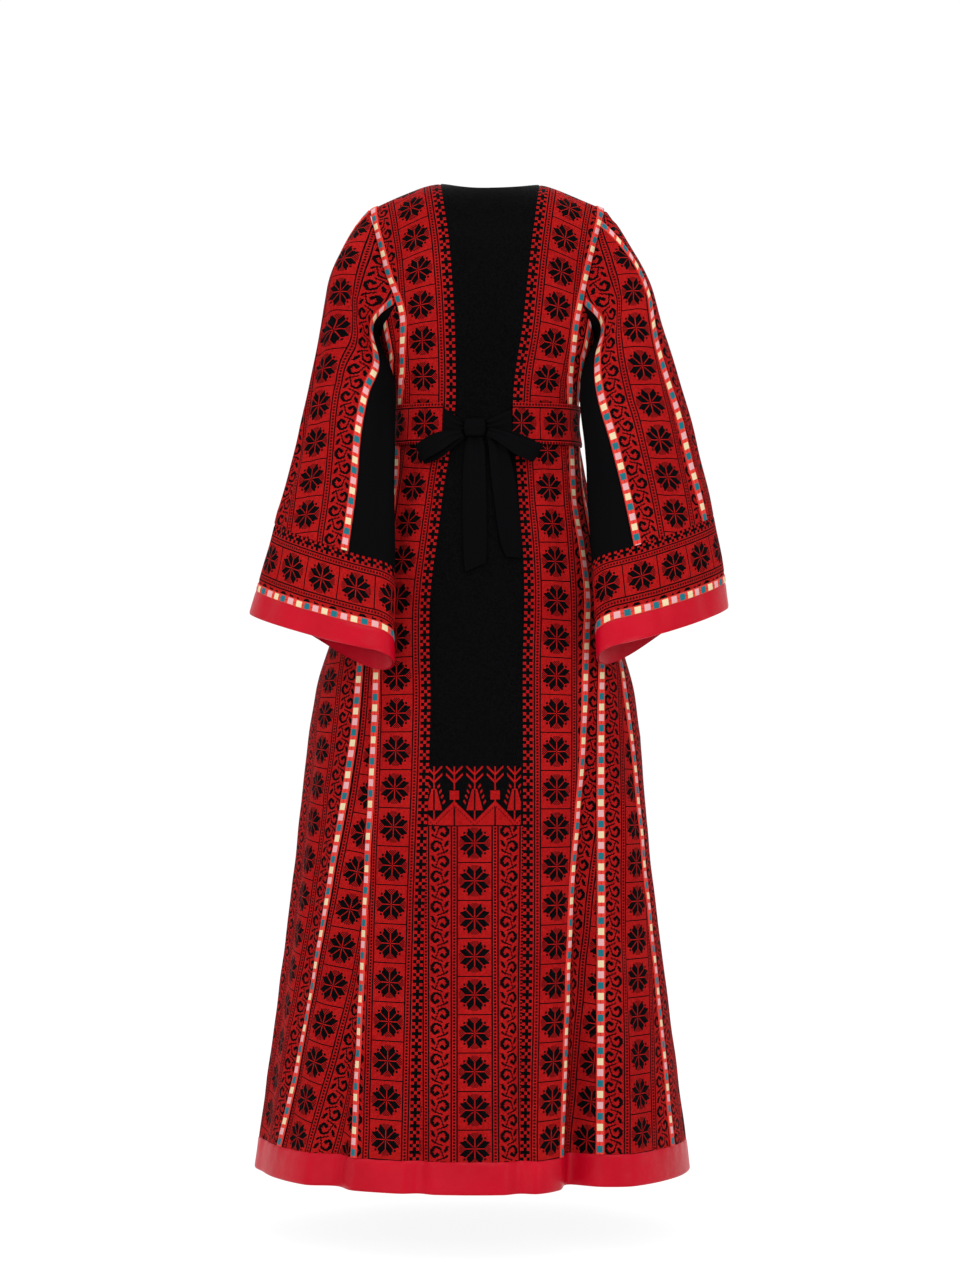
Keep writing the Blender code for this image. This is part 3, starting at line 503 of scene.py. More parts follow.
def sleeve(side, turn, along):
    """Points on a sleeve's outer face, from the armhole at 0 to the cuff's edge at 1."""
    turn, along = np.broadcast_arrays(np.asarray(turn, float), np.asarray(along, float))
    table = LEFT_RINGS if side > 0 else RIGHT_RINGS
    out_x, out_y, out_z, in_x, in_y, in_z, depth = (
        curve(table, name, along) for name in Ring._fields[1:8]
    )
    outer = np.stack([out_x, out_y, out_z], axis=-1)
    inner = np.stack([in_x, in_y, in_z], axis=-1)
    reach = (outer - inner) / 2
    back = unit(np.stack([-reach[..., 1], reach[..., 0], np.zeros_like(along)], axis=-1))
    t = np.radians(turn)[..., None]
    flat = 1 - (1 - FRONT_SHARE) * smooth_step(along / 0.5)
    depth = np.where(np.sin(np.radians(turn)) < 0, depth * flat, depth)
    tube = (outer + inner) / 2 + reach * np.cos(t) + back * depth[..., None] * np.sin(t)
    low = np.clip(np.cos(np.radians(turn - CUFF_SAG_TURN)), 0, 1)
    tube[..., 2] -= CUFF_SAG * low**2 * smooth_step((along - 0.7) / 0.3)
    tube[..., 0] *= side
    start = body(*armhole(side, turn))
    share = (1 - np.clip(1 - along / ARMHOLE_BLEND, 0, 1) ** 2)[..., None]
    return clear_of_dress(start * (1 - share) + tube * share, side, along)


def sleeve_normals(side, turn, along):
    turn, along = np.broadcast_arrays(np.asarray(turn, float), np.asarray(along, float))
    around = sleeve(side, turn + 1, along) - sleeve(side, turn - 1, along)
    below, above = np.minimum(along + 0.01, 1), np.maximum(along - 0.01, 0)
    down = sleeve(side, turn, below) - sleeve(side, turn, above)
    out = unit(np.cross(down, around) * side)
    beside = body_normals(*armhole(side, turn))
    agree = smooth_step((out * beside).sum(axis=-1) / 0.7) * np.clip(1 - along / 0.03, 0, 1)
    return unit(out * (1 - agree[..., None]) + beside * agree[..., None])


def cuff_place(side, turn, from_edge):
    length = np.linalg.norm(sleeve(side, turn, 1.0) - sleeve(side, turn, CUFF_START), axis=-1)
    return 1 - from_edge * (1 - CUFF_START) / length


def cuff_top(side, turn):
    return cuff_place(side, turn, CUFF_SATIN + TAPE_WIDTH + CUFF_BAND)


def sleeve_seam(side, name, share):
    return curve(LEFT_RINGS if side > 0 else RIGHT_RINGS, name, np.asarray(share) * CUFF_START)


# Creases: each becomes a short row of points on the cloth, and the cloth sinks near it.
def crease_lines(creases, surface):
    lines = []
    for crease in creases:
        share = np.linspace(0, 1, 9)
        turns = crease.turn + (crease.turn_end - crease.turn) * share
        levels = crease.level + (crease.level_end - crease.level) * share
        lines.append((surface(turns, levels), crease.width, crease.depth))
    return lines


def relief(points, lines):
    """How far the cloth stands out from its surface at each point."""
    flat = points.reshape(-1, 3)
    height = np.zeros(len(flat))
    for line, width, depth in lines:
        low, high = line.min(axis=0) - 3 * width, line.max(axis=0) + 3 * width
        near = np.flatnonzero(((flat > low) & (flat < high)).all(axis=1))
        if not len(near):
            continue
        place, best, share = flat[near], np.full(len(near), 1e9), np.zeros(len(near))
        for k, (start, end) in enumerate(zip(line[:-1], line[1:])):
            way = end - start
            t = np.clip(((place - start) @ way) / (way @ way), 0, 1)
            away = np.linalg.norm(place - start - t[:, None] * way, axis=1)
            closer = away < best
            best = np.where(closer, away, best)
            share = np.where(closer, (k + t) / (len(line) - 1), share)
        taper = np.clip(4 * share * (1 - share), 0, 1) ** 0.5
        off = (best / width) ** 2
        height[near] -= depth * taper * (1 - 0.75 * off) * np.exp(-off)
    x, y, z = flat.T
    height += 0.0006 * np.sin(23 * x + 31 * z + 1.3) * np.sin(17 * y - 26 * z + 0.4)
    height += 0.0004 * np.sin(61 * x - 47 * z + 2.1) * np.sin(53 * y + 38 * z)
    return height.reshape(points.shape[:-1])


BODY_LINES = crease_lines(BODY_CREASES, body)
SLEEVE_LINES = {
    side: crease_lines(SLEEVE_CREASES[side], lambda turn, along, s=side: sleeve(s, turn, along))
    for side in (1, -1)
}


def lengths_along(line):
    """How far each point of a line is from its first one."""
    return np.concatenate([[0], np.cumsum(np.linalg.norm(np.diff(line, axis=0), axis=-1))])


def lengths_across(points):
    """How far each point of a grid is from the first one in its row."""
    steps = np.linalg.norm(np.diff(points, axis=1), axis=-1)
    return np.concatenate([np.zeros((len(points), 1)), np.cumsum(steps, axis=1)], axis=1)


def columns_at(surface, first, last, shares, offsets):
    """Turns on each row at shares of the way from one seam to the other, plus offsets in metres."""
    samples = first[:, None] + (last - first)[:, None] * np.linspace(0, 1, 161)
    rows = zip(samples, lengths_across(surface(samples)))
    return np.array([np.interp(shares * away[-1] + offsets, away, turns) for turns, away in rows])


def panel_spots(count, edge=EDGE_COLUMN):
    """Shares and offsets of a panel's columns, with two close to each edge for the seam's groove."""
    inner = np.linspace(0, 1, count)
    shares = np.concatenate([[0, 0], inner, [1, 1]])
    offsets = np.concatenate([[0, GROOVE_COLUMN], edge - 2 * edge * inner, [-GROOVE_COLUMN, 0]])
    return shares, offsets


def stitch_uv(points, at):
    """Stitches from a column, square to it, and along it."""
    away = lengths_across(points)
    away -= away[:, at][:, None]
    line = points[:, at]
    along = lengths_along(line)
    forward = at < points.shape[1] - 5
    way = unit(points[:, at + 5] - line) if forward else unit(line - points[:, at - 5])
    lean = (unit(np.gradient(line, axis=0)) * way).sum(axis=-1)
    lean = np.pad(np.clip(lean, -0.4, 0.4), 6, mode="edge")
    lean = np.convolve(lean, np.ones(13) / 13, mode="valid")[:, None]
    u = away * np.sqrt(1 - lean**2)
    return np.stack([u, along[:, None] + away * lean], axis=-1) / STITCH


def hanging_uv(points, at):
    """Stitches square to the line of a sleeve's seam, and along it, where rows of points lie aslant."""
    line = points[:, at]
    along = (points - line[-1]) @ unit(line[-1] - line[len(line) // 4])
    steps = (np.diff(points, axis=1) ** 2).sum(axis=-1) - np.diff(along, axis=1) ** 2
    away = np.cumsum(np.sqrt(np.maximum(steps, 0)), axis=1)
    away = np.concatenate([np.zeros((len(points), 1)), away], axis=1)
    return np.stack([away - away[:, at][:, None], along], axis=-1) / STITCH


def rolled(distance, depth, width):
    """How far cloth turns in at a distance from its edge."""
    return -depth * np.exp(-((distance / width) ** 2))


def groove(points):
    """A dip along a panel's two side seams."""
    away = lengths_across(points)
    nearest = np.minimum(away, away[:, -1:] - away)
    return rolled(nearest, GROOVE_DEPTH, GROOVE_WIDTH)


def shell(node, outer, inner, uv, materials, slot, closed=False):
    """A thin closed piece of cloth in place of a node. uv has one more column than a closed grid."""
    rows, columns = outer.shape[:2]
    half = rows * columns
    wide = columns if closed else columns - 1
    j, i = np.meshgrid(np.arange(rows - 1), np.arange(wide), indexing="ij")
    corner = lambda j, i: (j * columns + i % columns, uv[j, i])
    around = (corner(j, i), corner(j, i + 1), corner(j + 1, i + 1), corner(j + 1, i))
    sets = [(*around, (0, 0, 0, 0)), (*around[::-1], (1, 1, 1, 1))]

    def rim(a, b):
        sets.append((a, b, b, a, (0, 0, 1, 1)))

    k = np.arange(wide)
    for row, a, b in ((0 * k, k + 1, k), (0 * k + rows - 1, k, k + 1)):
        rim(corner(row, a), corner(row, b))
    if not closed:
        k = np.arange(rows - 1)
        for column, a, b in ((0 * k, k, k + 1), (0 * k + columns - 1, k + 1, k)):
            rim(corner(a, column), corner(b, column))
    faces, maps, inside = [], [], []
    for n, (*corners, under) in enumerate(sets):
        index = np.stack([c[0].reshape(-1) + half * u for c, u in zip(corners, under)], axis=-1)
        faces.append(index)
        maps.append(np.stack([c[1].reshape(-1, 2) for c in corners], axis=1))
        inside.append(np.full(len(index), int(n == 1)))
    faces, maps, inside = np.concatenate(faces), np.concatenate(maps), np.concatenate(inside)
    m, q = rows // 2, columns // 2
    out = np.cross(outer[m, q] - outer[m, q - 1], outer[m, q] - outer[m - 1, q])
    if out @ (outer[m, q] - inner[m, q]) < 0:
        faces, maps = faces[:, ::-1], maps[:, ::-1]
    mesh = bpy.data.meshes.new(node)
    points = np.concatenate([outer.reshape(-1, 3), inner.reshape(-1, 3)])
    mesh.from_pydata(points.tolist(), [], faces.tolist())
    layer = mesh.uv_layers.new(name="stitches")
    layer.data.foreach_set("uv", maps.reshape(-1).astype(np.float32))
    for material in materials:
        mesh.materials.append(material)
    if len(materials) > 1:
        mesh.polygons.foreach_set("material_index", inside.astype(np.int32))
    mesh.shade_smooth()
    mesh.set_sharp_from_angle(angle=math.radians(52))
    mesh.validate()
    return dress_piece("cloth_" + node, mesh, node)


def dress_piece(name, mesh, node):
    piece = bpy.data.objects.new(name, mesh)
    bpy.context.scene.collection.objects.link(piece)
    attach(piece, "root")
    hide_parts(node)
    return piece


def body_levels(high):
    """Rows of a panel, up to the shoulder for a high one and to the armhole for the others."""
    low = HEM + HEM_BAND
    top = LAST_FLAT_ROW if high else TOP_ROW
    levels = np.linspace(low, top, int((top - low) / ROW) + 1)
    if high:
        rounded = -SHOULDER_ROUND * (1 - np.sin(np.linspace(0.0, np.pi / 2, 13)))
        levels = np.concatenate([levels, rounded])
    return levels


def lift_rows(levels, turns, top):
    """Rows that spread above the waist until the last one meets an uneven top edge."""
    rise = np.clip((levels - WAIST_ROW) / (levels[-1] - WAIST_ROW), 0, 1)[:, None]
    return levels[:, None] + rise * (top - levels[-1])[None, :] + 0 * turns


def lay_tape(node, place, material):
    """A crowned tape along a panel's edge. place gives points and normals at distances from it."""
    spots = np.array([0.0, 0.05, 0.16, 0.33, 0.5, 0.67, 0.84, 0.95, 1.0])
    crown = np.array([-0.0004, 0.0003, 0.0005, 0.0006, 0.00065, 0.0006, 0.0005, 0.0003, -0.0004])
    points, normals = place(TAPE_EDGE + TAPE_WIDTH * spots)
    outer = points + normals * (0.0010 + crown)[:, None]
    inner = points + normals * 0.0002
    along = lengths_along(points[:, 4])[:, None]
    uv = np.stack(np.broadcast_arrays(TAPE_WIDTH * spots[None, :], along), axis=-1) / STITCH
    piece = shell(node, outer, inner, uv, [material], "tape")


def dress_surface(turns, heights):
    points, normals = body(turns, heights), body_normals(turns, heights)
    return points + normals * relief(points, BODY_LINES)[..., None], normals


def hung_panel(node, points, normals, uv, main, inside, slot=None):
    """A panel of crepe, embroidered or plain outside, that dips along its seams."""
    stitched = main.name.startswith("embroidery")
    outer = points + normals * groove(points)[..., None]
    slot = slot or ("embroidery" if stitched else "crepe")
    piece = shell(node, outer, outer - normals * SHELL, uv, [main, inside], slot)


def body_panel(node, side, first, last, reference, phase, main, inside, tapes=None, high=False):
    """A panel between two seams of one side, with the tapes laid on its edges."""
    levels = body_levels(high)
    edge, far = seam(side, first, levels), seam(side, last, levels)
    surface = lambda t: body(side * t, levels[:, None])
    steps = edge[:, None] + (far - edge)[:, None] * np.linspace(0, 1, 30)
    shares, offsets = panel_spots(int(lengths_across(surface(steps)).max() / COLUMN) + 2)

    def heights_of(turns):
        if high:
            return levels[:, None] + 0 * turns
        return lift_rows(levels, turns, armhole_floor(side, np.abs(turns[-1])))

    turns = side * columns_at(surface, edge, far, shares, offsets)
    points, normals = dress_surface(turns, heights_of(turns))
    uv = stitch_uv(points, 0 if reference == "first" else len(shares) - 1)
    uv[..., 0] = np.abs(uv[..., 0]) + phase
    hung_panel(node, points, normals, uv, main, inside)
    for which, tape in (tapes or {}).items():

        def place(offsets, at=int(which == "last")):
            across = np.full_like(offsets, at), -offsets if at else offsets
            turns = side * columns_at(surface, edge, far, *across)
            return dress_surface(turns, heights_of(turns))

        lay_tape(tape, place, MATERIALS["tape"])


def centre_panel(node, seam_name, middle, main, inside, top, edge_column=EDGE_COLUMN):
    """The back's or the front's middle panel, in two halves that meet at its centre line."""
    levels = body_levels(True)
    halves = []
    for side in (-1, 1) if middle == 0 else (1, -1):
        edge = seam(side, seam_name, levels)
        edge = side * edge if middle == 0 else 180 - side * (180 - edge)
        centre = np.full_like(levels, middle)
        surface = lambda t: body(t, levels[:, None])
        shares, offsets = panel_spots(13, edge_column)
        if not halves:
            halves.append(columns_at(surface, edge, centre, shares, offsets))
        else:
            halves.append(columns_at(surface, centre, edge, shares, offsets)[:, 1:])
    turns = np.concatenate(halves, axis=1)
    away = turns[-1] - middle
    heights = lift_rows(levels, turns, top(away / np.where(away < 0, away[0], away[-1])))
    points, normals = dress_surface(turns, heights)
    centre = halves[0].shape[1] - 1
    uv = stitch_uv(points, centre)
    uv[..., 1] -= np.interp(TREE_BASE, points[:, centre, 2], uv[:, centre, 1])
    hung_panel(node, points, normals, uv, main, inside, slot="crepe")


def back_neck(share):
    return NECK_BACK * (1 - share**2)


def front_neck(share):
    return np.where(np.abs(share) < 1e-6, NECK_SLIT, NECK_FRONT * (1 - np.abs(share) ** 2.6))


def sleeve_surface(side, turns, along):
    points, normals = sleeve(side, turns, along), sleeve_normals(side, turns, along)
    return points + normals * relief(points, SLEEVE_LINES[side])[..., None], normals


def sleeve_panels(side, word, main, black, inside):
    """A sleeve's three strips and its tapes, from the armhole to the cuff."""
    shares = np.concatenate([[0, 0.006, 0.014], np.linspace(0.024, 1, 66)])
    outer_seam = sleeve_seam(side, "outer", shares)
    back_seam, front_seam = (sleeve_seam(side, name, shares) for name in ("back", "front"))
    strips = (
        ("back", outer_seam, back_seam, 26, main, -1, {"sleeve_outer_tape": 0, "sleeve_back_tape": 1}),
        ("gusset", back_seam, front_seam, 24, black, 0, {}),
        ("front", front_seam, outer_seam + 360, 24, main, 0, {"sleeve_front_tape": 0}),
    )
    for end, first, last, count, material, reference, tapes in strips:
        surface = lambda t: sleeve(side, t, shares[:, None] * cuff_top(side, t))
        spots = panel_spots(count)
        turns = columns_at(surface, first, last, *spots)
        points, normals = sleeve_surface(side, turns, shares[:, None] * cuff_top(side, turns))
        node = f"sleeve_{end}_{word}"
        uv = hanging_uv(points, reference)
        uv[..., 0] = np.abs(uv[..., 0])
        uv[..., 1] = uv[-1:, :, 1].mean() - uv[..., 1]
        hung_panel(node, points, normals, uv, material, inside)
        for tape, at in tapes.items():

            def place(offsets, at=at):
                across = np.full_like(offsets, at), -offsets if at else offsets
                turns = columns_at(surface, first, last, *across)
                points, normals = sleeve_surface(side, turns, shares[:, None] * cuff_top(side, turns))
                return points[2:], normals[2:]

            lay_tape(f"{tape}_{word}", place, MATERIALS["cuff_tape"])


def cuff_ring(node, side, high, low, materials, slot, rows, lift=0.0, thickness=SHELL, depth=0.0):
    """A ring of a cuff, between two distances from its edge, with its columns evenly spaced."""
    turns = np.linspace(-180, 180, 145)
    wide = sleeve(side, turns[:-1], 0.95)
    away = lengths_along(np.concatenate([wide, wide[:1]]))
    turns = np.interp(np.linspace(0, away[-1], 121)[:-1], away, turns)
    distances = np.linspace(high, low, rows)[:, None]
    along = cuff_place(side, turns[None, :], distances)
    points, normals = sleeve_surface(side, turns[None, :], along)
    share = np.linspace(0, 1, rows)[:, None]
    edge = np.minimum(share, 1 - share) * (high - low)
    crown = lift + rolled(edge, 0.0008, 0.0018)
    outer = points + normals * (crown - depth)[..., None]
    inner = points - normals * (depth + thickness)
    around = lengths_along(np.concatenate([outer, outer[:, :1]], axis=1).mean(axis=0))
    uv = np.stack(np.broadcast_arrays(high - distances, around[None, :]), axis=-1) / STITCH
    piece = shell(node, outer, inner, uv, materials, slot, closed=True)


def cuffs(side, word):
    """Band, tape, satin edge and satin facing, placed by their distance from the cuff's edge."""
    band, trim, gap = CUFF_SATIN + TAPE_WIDTH, CUFF_SATIN, 0.0002
    cloth, woven = [MATERIALS["cuff"], MATERIALS["inside"]], [MATERIALS["cuff_tape"]]
    satin = [MATERIALS["satin"]]
    on_band = f"cuff_band_{word}"
    cuff_ring(on_band, side, band + CUFF_BAND, band, cloth, "embroidery", 18)
    cuff_ring(f"cuff_tape_{word}", side, band - gap, trim + gap, woven, "tape", 7, lift=0.0006)
    cuff_ring(f"cuff_hem_{word}", side, trim, 0.0, satin, "satin", 11,
              lift=0.0004, thickness=0.0016)
    cuff_ring(f"cuff_facing_{word}", side, CUFF_FACING, 0.0006, satin, "satin", 14,
              depth=0.0021, thickness=0.0006)


def on_back(x, z, lift):
    """Points above the back at places across and up, lifted off it."""
    width, shift, fullness = oval_at(z, "width", "shift", "fullness")
    turn = np.sign(x - shift) * oval_turn(np.abs(x - shift), width, fullness)
    points, normals = body(turn, z), body_normals(turn, z)
    return points + normals * lift[..., None]


def smooth_rows(values, count):
    """A table's column on a smooth curve through its rows."""
    at = np.linspace(0, len(values) - 1, count)
    i = np.clip(at.astype(int), 0, len(values) - 2)
    t = at - i
    slope = np.gradient(values)
    a, b = values[i], values[i + 1]
    return (a * (1 + 2 * t) * (1 - t) ** 2 + b * t * t * (3 - 2 * t)
            + slope[i] * t * (1 - t) ** 2 - slope[i + 1] * t * t * (1 - t))


def ribbon(node, gather, pleats):
    """A tie of the bow through its table, gathered at the knot into soft pleats."""
    table = RIBBONS[node]
    count, columns = max(19, 6 * len(table)), 17
    rows = Ribbon(*(smooth_rows(np.array(values, float), count)[:, None] for values in zip(*table)))
    lean = np.radians(rows.lean)
    place = np.linspace(-0.5, 0.5, columns)
    out = rows.width * place
    x, z = rows.x + out * np.cos(lean), rows.z + out * np.sin(lean)
    middle = on_back(x, z, rows.lift + 0 * x)
    along, wide = np.gradient(middle, axis=0), np.gradient(middle, axis=1)
    normal = unit(np.cross(along, wide))
    share = np.linspace(0, 1, count)[:, None]
    strength = gather(share)
    wave = np.cos(2 * np.pi * (pleats * place[None, :] + 0.18 * np.sin(5 * share)))
    middle = middle + normal * (strength * wave)[..., None]
    step = np.cumsum(np.linalg.norm(along, axis=-1), axis=0) / STITCH
    uv = np.stack([out / STITCH, step], axis=-1)
    half = normal * 0.0006
    piece = shell(node, middle + half, middle - half, uv, [MATERIALS["crepe"]], "crepe")


def tube_faces(rows, columns):
    """The quads between the rows of a closed grid."""
    faces = []
    for j in range(rows - 1):
        for i in range(columns):
            a, b = j * columns + i, j * columns + (i + 1) % columns
            faces.append((a, b, b + columns, a + columns))
    return faces


def knot():
    """The bow's knot: a soft wrapped block, pinched at its ends, with pleats round it."""
    rows, columns = 25, 49
    up = np.linspace(-1, 1, rows)[:, None]
    t = 2 * np.pi * np.arange(columns)[None, :] / columns
    swell = 0.80 + 0.20 * np.cos(up * np.pi / 2)
    end = np.clip(1 - ((np.abs(up) - 0.86) / 0.15) ** 2, 0.02, 1)
    swell = swell * np.where(np.abs(up) > 0.86, np.sqrt(end), 1)
    c, s = np.cos(t), np.sin(t)
    pleat = 1 + 0.035 * np.cos(9 * up + 1.1 * c) * np.abs(s) + 0.02 * np.sin(16 * up + 2 * c)
    x = KNOT.width / 2 * swell * np.sign(c) * np.abs(c) ** 0.7 * pleat
    y = KNOT_DEPTH / 2 * swell * np.sign(s) * np.abs(s) ** 0.7 * pleat
    points = np.stack(np.broadcast_arrays(x, y, KNOT_HEIGHT / 2 * up), axis=-1)
    centre = on_back(np.array(KNOT.x), np.array(KNOT.z), np.array(KNOT.lift + KNOT_DEPTH / 2))
    points = points + centre
    faces = tube_faces(rows, columns)
    faces += [tuple(range(columns - 1, -1, -1)), tuple(range((rows - 1) * columns, rows * columns))]
    mesh = bpy.data.meshes.new("bow_knot")
    mesh.from_pydata(points.reshape(-1, 3).tolist(), [], faces)
    layer = mesh.uv_layers.new(name="stitches")
    corners = [loop.vertex_index for loop in mesh.loops]
    places = points.reshape(-1, 3)[corners][:, [0, 2]] / STITCH
    layer.data.foreach_set("uv", places.reshape(-1).astype(np.float32))
    mesh.materials.append(MATERIALS["crepe"])
    mesh.shade_smooth()
    dress_piece("tie_bow_knot", mesh, "bow_knot")


def belt():
    """The band round the waist, open at the back, and the ties that close it there."""
    rows = 15
    levels = np.linspace(BELT_LEVELS[0], BELT_LEVELS[-1], rows)
    width, fullness = oval_at(levels, "width", "fullness")
    first = oval_turn(np.full_like(levels, BELT_ENDS[0]), width, fullness)
    last = 360 - oval_turn(np.full_like(levels, -BELT_ENDS[1]), width, fullness)
    places = np.linspace(0, 1, 150)
    turns = columns_at(lambda t: body(t, levels[:, None]), first, last, places, 0 * places)
    heights = levels[:, None] + 0 * turns
    points, normals = body(turns, heights), body_normals(turns, heights)
    share = np.linspace(0, 1, rows)[:, None]
    edge = np.minimum(share, 1 - share) * (levels[-1] - levels[0])
    t = np.radians(turns)
    wave = 0.0004 * np.sin(t * 11 + 7 * share) + 0.0003 * np.sin(t * 23 + 1.0)
    crown = BELT_LIFT + BELT_CLOTH + wave + rolled(edge, 0.0010, 0.0022)
    outer = points + normals * crown[..., None]
    around = lengths_along(points.mean(axis=0))
    height = (levels - levels.mean())[:, None]
    uv = np.stack(np.broadcast_arrays(height, around[None, :]), axis=-1) / STITCH
    cloth = [MATERIALS["belt"], MATERIALS["crepe"]]
    piece = shell("belt_band", outer, points + normals * BELT_LIFT, uv, cloth, "embroidery")
    knot()
    for word in ("left", "right"):
        ribbon(f"belt_strap_{word}", lambda s: 0.0010 * (1 - s) ** 0.7 + 0.0001, 3.0)
        ribbon(f"bow_loop_{word}", lambda s: 0.0009 * np.abs(1 - 2 * s) ** 1.5 + 0.0002, 2.0)
        ribbon(f"bow_tail_{word}", lambda s: 0.0011 * (1 - s) ** 1.2 + 0.0004, 1.6)


def hem_bands():
    """Two satin bands round the foot, puckered a little and rolled at both edges."""
    for word, first, last in (("back", -90.0, 90.0), ("front", 90.0, 270.0)):
        spots = [0, 0.02, 0.05, 0.12, 0.25, 0.4, 0.55, 0.7, 0.84, 0.94, 0.98, 1.0]
        levels = HEM + HEM_BAND * np.array(spots)
        ends = np.full_like(levels, first), np.full_like(levels, last)
        places = np.linspace(0, 1, 190)
        turns = columns_at(lambda t: body(t, levels[:, None]), *ends, places, 0 * places)
        points, normals = dress_surface(turns, levels[:, None] + 0 * turns)
        share = ((levels - HEM) / HEM_BAND)[:, None]
        pucker = 0.0004 * np.sin(np.radians(turns) * 61 + 3 * share) * share**2
        crown = 0.0005 + pucker + rolled(share * HEM_BAND, 0.0011, 0.0013)
        crown = crown + rolled((1 - share) * HEM_BAND, 0.0010, 0.0016)
        outer = points + normals * crown[..., None]
        around = lengths_along(points[6])
        uv = np.stack(np.broadcast_arrays(around[None, :], (levels - HEM)[:, None]), axis=-1) / STITCH
        inner = points - normals * 0.0016
        piece = shell(f"hem_band_{word}", outer, inner, uv, [MATERIALS["satin"]], "satin")


# Materials. A Sum is a number in a material's nodes, so that the patterns read as ordinary sums.
class Sum:
    tree = None

    def __init__(self, socket):
        self.socket = socket

    def node(self, operation, *values):
        made = Sum.tree.nodes.new("ShaderNodeMath")
        made.operation = operation
        for socket, value in zip(made.inputs, (self,) + values):
            if isinstance(value, Sum):
                Sum.tree.links.new(value.socket, socket)
            else:
                socket.default_value = value
        return Sum(made.outputs[0])

    def __invert__(self):
        return self * -1 + 1

    def within(self, low, high):
        return self.node("COMPARE", (low + high) / 2, (high - low) / 2)

    def either(self, other, choice):
        return self * choice + other * (~choice)


for word, operation in (
    ("__add__", "ADD"),
    ("__sub__", "SUBTRACT"),
    ("__mul__", "MULTIPLY"),
    ("__truediv__", "DIVIDE"),
    ("__mod__", "FLOORED_MODULO"),
    ("__lt__", "LESS_THAN"),
    ("__gt__", "GREATER_THAN"),
    ("__and__", "MULTIPLY"),
    ("__or__", "MAXIMUM"),
    ("__abs__", "ABSOLUTE"),
    ("floor", "FLOOR"),
    ("lesser", "MINIMUM"),
):
    setattr(Sum, word, lambda self, *others, kind=operation: self.node(kind, *others))


def new_material(name, roughness, gloss, sheen=0.0):
    material = bpy.data.materials.new(name)
    material.use_nodes = True
    tree = material.node_tree
    Sum.tree = tree
    shader = tree.nodes["Principled BSDF"]
    shader.inputs["Roughness"].default_value = roughness
    shader.inputs["Sheen Weight"].default_value = sheen
    shader.inputs["Sheen Roughness"].default_value = 0.4
    shader.inputs["Specular IOR Level"].default_value = gloss
    return material, tree, shader


def uv_sums(tree):
    source = tree.nodes.new("ShaderNodeUVMap")
    source.uv_map = "stitches"
    split = tree.nodes.new("ShaderNodeSeparateXYZ")
    tree.links.new(source.outputs[0], split.inputs[0])
    return Sum(split.outputs[0]), Sum(split.outputs[1])


def joined(tree, *sums):
    vector = tree.nodes.new("ShaderNodeCombineXYZ")
    for value, socket in zip(sums, vector.inputs):
        tree.links.new(value.socket, socket)
    return vector.outputs[0]


def noise(tree, scale, detail=2.0):
    place = tree.nodes.new("ShaderNodeTexCoord").outputs["Object"]
    made = tree.nodes.new("ShaderNodeTexNoise")
    made.inputs["Scale"].default_value = scale
    made.inputs["Detail"].default_value = detail
    tree.links.new(place, made.inputs["Vector"])
    return Sum(made.outputs[0])


def blend_colours(tree, share, first, second):
    """first where share is 0 and second where it is 1; each is a colour or a socket."""
    mix = tree.nodes.new("ShaderNodeMix")
    mix.data_type = "RGBA"
    tree.links.new(share.socket, mix.inputs["Factor"])
    for value, socket in ((first, mix.inputs[6]), (second, mix.inputs[7])):
        if isinstance(value, tuple):
            socket.default_value = (*value, 1)
        else:
            tree.links.new(value, socket)
    return mix.outputs[2]


def bump(tree, shader, height, distance, strength):
    made = tree.nodes.new("ShaderNodeBump")
    made.inputs["Distance"].default_value = distance
    made.inputs["Strength"].default_value = strength
    tree.links.new(height.socket, made.inputs["Height"])
    tree.links.new(made.outputs[0], shader.inputs["Normal"])


# A strip in stitches: a chain from 0, scrolls, a second chain and stars, and then the next strip.
STRIP, SCROLLS_AT, SECOND_CHAIN, STAR_AT = 65, 8, 27, 49
STAR_PITCH = 36
LOWER_PITCH = 35
CENTRE_PHASE = 49.5
BORDER_WIDTH = 9.5
BORDERED_PHASE = 17
TREES_TOP = 56


# Each pattern gives 1 where the black ground shows, from stitches across and along.
def chain(across, v, start):
    c = across - start
    lines = c.within(0, 1.4) | c.within(5.6, 7)
    return lines | (c.within(2.5, 4.5) & ((v % 3) < 1.7))


def star(a, b):
    """An eight-petalled star, from the whole stitches away from its two centre lines."""
    high, low = a | b, a.lesser(b)
    gap = high - low
    petals = (low > 0.5) & ((gap < 8.5) & ((low + high * 0.45) < 11.9))
    veins = (gap < 0.5) & low.within(1.5, 8.5)
    dots = low.within(8.5, 10.5) & (high < 10.5)
    fans = (gap > 9.5) & (((low < 3.5) & (high < 14.5)) & (((low + high) % 2) < 0.5))
    return (petals & ~veins) | (dots | (fans | (high < 0.5)))


def medallions(p, y, pitch=STAR_PITCH):
    """A column of stars with a dark line between each two."""
    a = abs(p.floor() - STAR_AT)
    row = y % pitch
    return (star(a, abs(row - (pitch // 2 - 1))) | (row > pitch - 1.7)) & (a < 15.5)


